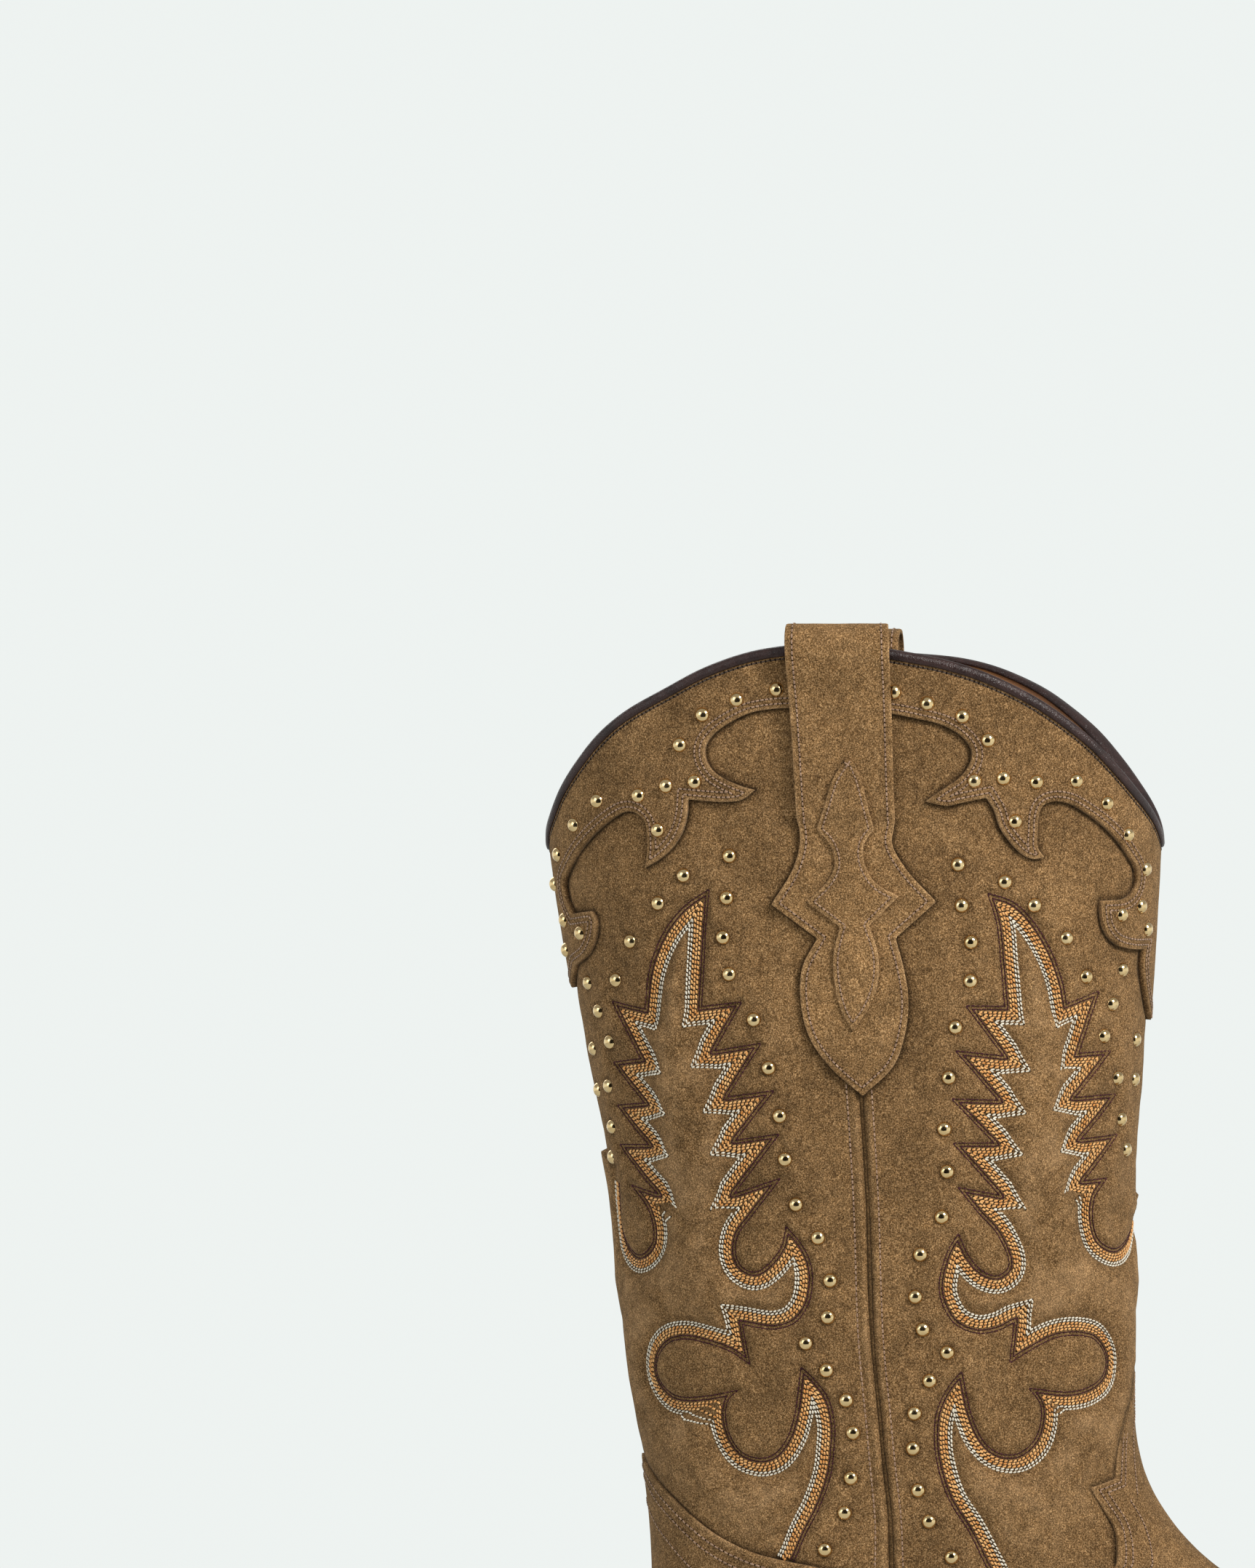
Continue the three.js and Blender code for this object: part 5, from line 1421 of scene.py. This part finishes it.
ROWS = {"thread_dark": (0.0, 0.90), "thread_orange": (1.70, 2.44, 3.18), "thread_white": (3.92, 4.62)}
for which in ("front", "back"):
    segs, sg = MOTIF[which + "_motif"]
    holes = Thread()
    for mat, offs in ROWS.items():
        th = Thread()
        for io, off in enumerate(offs):
            for s in offset_path(segs, sg * off):
                if len(s) < 2:
                    continue
                for side in (1, -1):
                    mf = (lambda q: (lambda P, h=0.0: map_az(P, h, q)))(side)
                    if mat == "thread_dark":
                        th.row(s, mf, panel_height(which), 1.25, 1.0, 0.36, 0.30, free_of_foot(which), hole=0.19)
                    else:
                        th.row(s, mf, panel_height(which), (1.25, 1.16, 1.33)[io], (0.98, 0.92, 1.04)[io], 0.60 if mat == "thread_orange" else 0.52, 0.44, free_of_foot(which), slant=(0.34, 0.22, 0.40)[io], hole=0.27)
        holes.H += th.H
        finish_piece(th.mesh("embroidery_" + which + "_" + mat.split("_")[1]), mat, "blend")
    finish_piece(holes.holes_mesh("embroidery_" + which + "_needle_holes"), "needle_hole_shade", "blend")


# ------------------------------------------------------------------ seams of the collar, straps, side seams and foot
def into(loop, segs, d):
    """Segments moved by d to the inside of a closed loop."""
    for sg in (1, -1):
        o = offset_path(segs, sg * d)
        m = np.vstack([q[len(q) // 2:len(q) // 2 + 1] for q in o])
        if inside(m, loop).mean() > 0.6:
            return o
    return o


rose, seam, rholes = Thread(), Thread(), Thread()
for which in ("front", "back"):
    f = which == "front"
    for d in (1.25, 2.65):
        for s in into(COLLAR_LOOP[which], EDGE["collar_" + which], d):
            s = s[(s[:, 1] < z_top(s[:, 0]) - 3)]
            if len(s) < 2:
                continue
            rose.row(s, map_bz, 1.50, 1.2, 0.92, 0.46, 0.32)
            rose.row(mirror(s, f), map_bz, 1.50, 1.2, 0.92, 0.46, 0.32)
    bb = np.linspace(0.4, 2 * FRONT_B - 0.4, 900) if f else np.linspace(-2 * FRONT_B + 0.4, -0.4, 900)
    line = even(np.stack([bb, z_top(bb)], -1), 0.7)
    o, _ = offset_line(line, 2.75)
    seam.row(o, map_bz, 1.50, 1.25, 0.9, 0.40, 0.22, hole=0.36)
    o, _ = offset_line(line, 4.6)
    seam_in = (lambda P, h=0.0: map_bz(P, -2.6 - np.asarray(h)))
    rose.row(o, seam_in, 0.0, 1.6, 1.2, 0.45, 0.26)
for side in (1, -1):
    mf = (lambda q: (lambda P, h=0.0: map_strap(P, h, q)))(side)
    for s in into(STRAP_LOOP, FLARE_PIECES, 1.7):
        rose.row(s, mf, 1.2, 1.3, 0.98, 0.46, 0.32)
    for s in into(STRAP_LOOP, FLARE_PIECES, 2.9)[4:16]:
        pass
    rose.row(_right - [1.9, 0], mf, 1.2, 1.3, 0.98, 0.46, 0.32)
    rose.row(_left + [1.9, 0], mf, 1.2, 1.3, 0.98, 0.46, 0.32)
    for s in into(_dm, DIAMOND_PIECES, 1.3):
        rose.row(s, mf, 2.24, 1.2, 0.9, 0.44, 0.30)
    ma = (lambda q: (lambda P, h=0.0: map_az(P, h, q)))(side)
    for which, a in (("front", 2.9), ("back", -3.8)):
        line = np.stack([np.full(200, a), np.linspace(231, 96, 200)], -1)
        outside = lambda P: ~inside(P, _fl)
        rose.row(line, ma, panel_height(which), 1.4, 1.05, 0.48, 0.32,
                 lambda P: (~inside(P, np.vstack([_fl, [(12, 340), (-12, 340)]]))))
rholes.H = rose.H
finish_piece(rose.mesh("seam_stitches_shaft_rose"), "thread_rose", "blend")
rholes.H = rose.H + seam.H
finish_piece(seam.mesh("seam_stitches_topline"), "thread_seam", "blend")
finish_piece(rholes.holes_mesh("seam_needle_holes_shaft"), "needle_hole_shade", "blend")

foot = Thread()
vamp_top = chain(VAMP_TOP)
for segs_, loop, ds, mir in ((VAMP_TOP + [VAMP_LOW], VAMP_LOOP, (1.9, 3.7, 9.0), lambda P: P * [-1, 1]),
                             ([COUNTER_TOP], COUNTER_LOOP, (2.2, 4.2, 9.4), lambda P: np.stack([2 * math.pi * 45 - P[:, 0], P[:, 1]], -1))):
    for d in ds:
        for s in into(loop, segs_, d):
            if len(s) < 3:
                continue
            foot.row(s, map_tv, 1.43, 1.45, 1.08, 0.48, 0.32)
            foot.row(mir(s), map_tv, 1.43, 1.45, 1.08, 0.48, 0.32)
for J, dx in ((JV, 2.0), (JC, -2.0)):
    L = xz_to_tv([((7.2 if dx > 0 else 6.5) + dx, z) for z in _jz[4:-4]])
    foot.row(L, map_tv, 1.40, 1.6, 1.1, 0.46, 0.27)
    foot.row(L * [-1, 1], map_tv, 1.40, 1.6, 1.1, 0.46, 0.27)
finish_piece(foot.mesh("seam_stitches_foot_rose"), "thread_rose", "blend")
finish_piece(foot.holes_mesh("seam_needle_holes_foot"), "needle_hole_shade", "blend")

# ------------------------------------------------------------------ welt, outsole and heel
PLAN = [(-60, 0), (-59.4, 7), (-57, 15), (-50, 23), (-40, 28), (-25, 31), (-5, 31.5), (15, 30.5), (40, 31.5), (65, 36), (90, 41.5), (110, 45), (130, 46),
        (150, 44.5), (170, 39.5), (187, 32), (201, 23), (212, 14.5), (220, 7.5), (223.6, 3.2), (224.5, 0)]
_pl = smooth(PLAN, 1.6)


def centre_y(x):
    u = np.clip((x - 60) / 164, 0, 1)
    return 6 * u * u * (3 - 2 * u)


def plan_loop(d):
    g = np.gradient(_pl, axis=0)
    g[0], g[-1] = (0, 1), (0, -1)
    g /= np.linalg.norm(g, axis=1, keepdims=True)
    up = _pl + d * np.stack([-g[:, 1], g[:, 0]], -1)
    c = centre_y(_pl[:, 0])
    return np.vstack([np.stack([up[:, 0], c + np.maximum(up[:, 1], 0)], -1), np.stack([up[:, 0], c - np.maximum(up[:, 1], 0)], -1)[1:-1][::-1]])


def plate(name, levels, material, nodes, d0):
    n = len(_pl)
    rings = []
    for dz, inset in levels:
        L = plan_loop(d0 - inset)
        rings.append(np.stack([L[:, 0], L[:, 1], bottom_z(L[:, 0]) + dz], -1))
    R = np.stack(rings)
    nr, nc = R.shape[:2]
    F = [grid_faces(nr, nc, close=True)]
    cap = []
    for i in range(1, n - 2):
        cap.append((i, i + 1, nc - (i + 1), nc - i))
    cap = np.array(cap)
    tr = np.array([(0, 1, nc - 1), (n - 2, n - 1, n)])
    F += [cap[:, ::-1] if False else cap, (cap + (nr - 1) * nc)[:, ::-1]]
    T = np.vstack([tr, (tr + (nr - 1) * nc)[:, ::-1]])
    ob = build(name, R.reshape(-1, 3), np.concatenate(F)[:, ::-1], T[:, ::-1])
    finish_piece(ob, material, "foot", nodes)
    return ob


plate("outsole_leather", [(-6.0, 1.6), (-5.95, 0.7), (-5.6, 0.2), (-4.9, 0), (-3.8, 0), (-3.1, 0.15), (-2.8, 0.5), (-2.7, 1.4)], "sole_leather", ["outsole"], 5.0)
plate("welt_leather", [(-2.45, 1.4), (-2.4, 0.4), (-2.1, 0.08), (-1.2, 0), (-0.4, 0.05), (-0.08, 0.4), (0.0, 1.2), (0.0, 2.9), (0.45, 3.8), (0.9, 4.7)], "welt", ["welt"], 4.5)

ws = Thread()
L = plan_loop(2.9)
n = len(_pl)
for side in (0, 1):
    c = L[:n] if side == 0 else np.vstack([L[0], L[n:][::-1], L[n - 1]])
    c = c[(c[:, 0] > 16)]
    ws.row(even(c, 0.8), lambda P, h=0.0: np.stack([P[..., 0], P[..., 1], bottom_z(P[..., 0]) + np.asarray(h)], -1), 0.0, 3.0, 2.35, 0.75, 0.5)
finish_piece(ws.mesh("welt_stitches"), "thread_rose", "foot")
finish_piece(ws.holes_mesh("welt_needle_holes"), "needle_hole_shade", "foot")


def heel_loop(z, H=40.0):
    f = min(max(1 - z / H, 0), 1)
    xb, xf, w = -66 + 20 * f ** 0.85, 14 - 12 * f, 32.5 - 4.5 * f
    cx = xb + w * 0.95
    a = math.pi / 2 + math.pi * np.arange(49) / 48
    arc = np.stack([cx + w * 0.95 * np.cos(a), w * np.sin(a)], -1)
    br = smooth([(xf - 0.9, -w + 0.35), (xf, -w + 1.4), (xf - 2.2, -w * 0.5), (xf - 3, 0), (xf - 2.2, w * 0.5), (xf, w - 1.4), (xf - 0.9, w - 0.35)], 1.0)
    br = np.stack([np.interp(np.linspace(0, 1, 41), np.linspace(0, 1, len(br)), br[:, k]) for k in (0, 1)], -1)
    sides = [np.linspace(arc[-1], br[0], 14)[1:-1], np.linspace(br[-1], arc[0], 14)[1:-1]]
    return np.vstack([arc, sides[0], br, sides[1]])


def heel_block(name, levels, material, nodes, seat=True):
    rings = []
    for z, inset in levels:
        L = heel_loop(z)
        c = L.mean(0)
        r = L - c
        L = c + r * (1 - inset / np.linalg.norm(r, axis=1, keepdims=True))
        zz = np.full(len(L), float(z))
        if seat:
            zz = np.minimum(zz, bottom_z(L[:, 0]) - 6.05)
        rings.append(np.column_stack([L, zz]))
    R = np.stack(rings)
    nr, nc = R.shape[:2]
    V = np.vstack([R.reshape(-1, 3), [R[0].mean(0)], [R[-1].mean(0)]])
    k = nr * nc
    T = [((j + 1) % nc, j, k) for j in range(nc)] + [((nr - 1) * nc + j, (nr - 1) * nc + (j + 1) % nc, k + 1) for j in range(nc)]
    ob = build(name, V, grid_faces(nr, nc, close=True), np.array(T))
    finish_piece(ob, material, "foot", nodes)


lv = []
for i in range(5):
    z0 = 6.3 + 5.8 * i
    z1 = z0 + 5.5 if i < 4 else 41.0
    lv += [(z0 - 0.12, 0.5), (z0 + 0.1, 0.22), (z0 + 0.5, 0.0), ((z0 + z1) / 2, -0.08), (z1 - 0.35, 0.0), (z1 - 0.02, 0.22)]
heel_block("heel_stack_leather", lv, "heel_stack", ["heel_lift_%d" % (i + 1) for i in range(5)])
heel_block("heel_top_rubber", [(0.0, 1.2), (0.25, 0.5), (0.9, 0.1), (3.0, 0), (5.3, 0.05), (5.9, 0.35), (6.0, 1.0)], "rubber", ["heel_top_lift"], False)

# ------------------------------------------------------------------ inner parts kept from the CAD
KEEP = {"vamp_lining": "lining", "heel_lining": "lining", "sock_lining": "lining", "insole_board": "board", "toe_box": "board", "heel_stiffener": "board",
        "steel_shank": "steel", "bottom_filler": "cork", "heel_screw": "steel", "heel_nail_1": "steel", "heel_nail_2": "steel", "heel_nail_3": "steel", "heel_nail_4": "steel"}
for node, mat in KEEP.items():
    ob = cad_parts[node]
    if len(ob.material_slots) == 0:
        ob.data.materials.append(MAT[mat])
    for s in ob.material_slots:
        s.material = MAT[mat]

# ------------------------------------------------------------------ floor, light and camera
sc = bpy.context.scene
sc.view_settings.view_transform = "Standard"
sc.view_settings.look = "None"

m = Mat("floor", "suede")
_n = m.noise(3, 2)
m.color(m.ramp(_n, (0.3, (0.59, 0.615, 0.60)), (0.7, (0.61, 0.635, 0.62))))
m.set(Roughness=0.9, Specular_IOR_Level=0.2)
me = bpy.data.meshes.new("floor")
q = np.arange(128) / 128 * 2 * math.pi
me.from_pydata([(1.15 * math.cos(a), 1.15 * math.sin(a), 0) for a in q], [], [tuple(range(128))])
floor = bpy.data.objects.new("floor", me)
sc.collection.objects.link(floor)
me.materials.append(MAT["floor"])

world = bpy.data.worlds.new("studio")
sc.world = world
world.use_nodes = True
wt = world.node_tree
wt.nodes.clear()
wo = wt.nodes.new("ShaderNodeOutputWorld")
bg = wt.nodes.new("ShaderNodeBackground")
tc = wt.nodes.new("ShaderNodeTexCoord")
sx = wt.nodes.new("ShaderNodeSeparateXYZ")
cr = wt.nodes.new("ShaderNodeValToRGB")
mr = wt.nodes.new("ShaderNodeMapRange")
wt.links.new(tc.outputs["Generated"], sx.inputs[0])
wt.links.new(sx.outputs["Z"], mr.inputs["Value"])
mr.inputs["From Min"].default_value = -1
mr.inputs["From Max"].default_value = 1
wt.links.new(mr.outputs[0], cr.inputs[0])
el = cr.color_ramp.elements
BACK = (0.855, 0.892, 0.875)
for k, (p, c) in enumerate([(0.0, (0.62, 0.645, 0.635)), (0.44, BACK), (0.56, BACK), (0.68, (0.30, 0.305, 0.30)), (1.0, (0.36, 0.365, 0.36))]):
    if k < 2:
        e = el[k]
        e.position = p
    else:
        e = el.new(p)
    e.color = (*c, 1)
wt.links.new(cr.outputs[0], bg.inputs[0])
wt.links.new(bg.outputs[0], wo.inputs[0])


def area(name, loc, aim, size, power, color=(1, 1, 1), sy=None):
    l = bpy.data.lights.new(name, "AREA")
    l.shape = "RECTANGLE"
    l.size, l.size_y = size, sy or size
    l.energy = power
    l.color = color
    o = bpy.data.objects.new(name, l)
    o.location = loc
    o.rotation_euler = (Vector(aim) - Vector(loc)).to_track_quat("-Z", "Y").to_euler()
    sc.collection.objects.link(o)


area("key", (1.22, -1.16, 1.45), (0, 0, 0.25), 0.65, 38, (1.0, 0.985, 0.96))
area("fill", (-1.5, -1.5, 0.9), (0, 0, 0.2), 1.2, 9, (0.97, 0.985, 1.0))
area("rim", (-0.9, 1.6, 1.3), (0, 0, 0.2), 1.2, 8, (1, 1, 1))

# the unlit side of the studio: only polished metal and gloss see it
me = bpy.data.meshes.new("studio_dark_side")
me.from_pydata([(-0.07 + 0.42 * math.cos(k / 20 * math.pi), -0.52, 0.20 + 0.38 * math.sin(k / 20 * math.pi)) for k in range(40)], [], [tuple(range(40))])
flag = bpy.data.objects.new("studio_dark_side", me)
sc.collection.objects.link(flag)
m = Mat("studio_dark", "suede")
_n = m.noise(2, 2)
m.color(m.ramp(_n, (0.3, (0.012, 0.011, 0.010)), (0.7, (0.02, 0.018, 0.016))))
m.set(Roughness=1.0, Specular_IOR_Level=0.0)
me.materials.append(MAT["studio_dark"])
flag.visible_camera = False
flag.visible_diffuse = False
flag.visible_shadow = False
flag.visible_transmission = False

cam = bpy.data.cameras.new("camera")
cam.sensor_width = 36
cam.lens = 217.07
cam.clip_start, cam.clip_end = 0.05, 50
co = bpy.data.objects.new("camera", cam)
az = math.radians(4)
co.location = (0.040995, -2.540501, 0.309192)
co.rotation_euler = (math.pi / 2, 0, az)
sc.collection.objects.link(co)
sc.camera = co
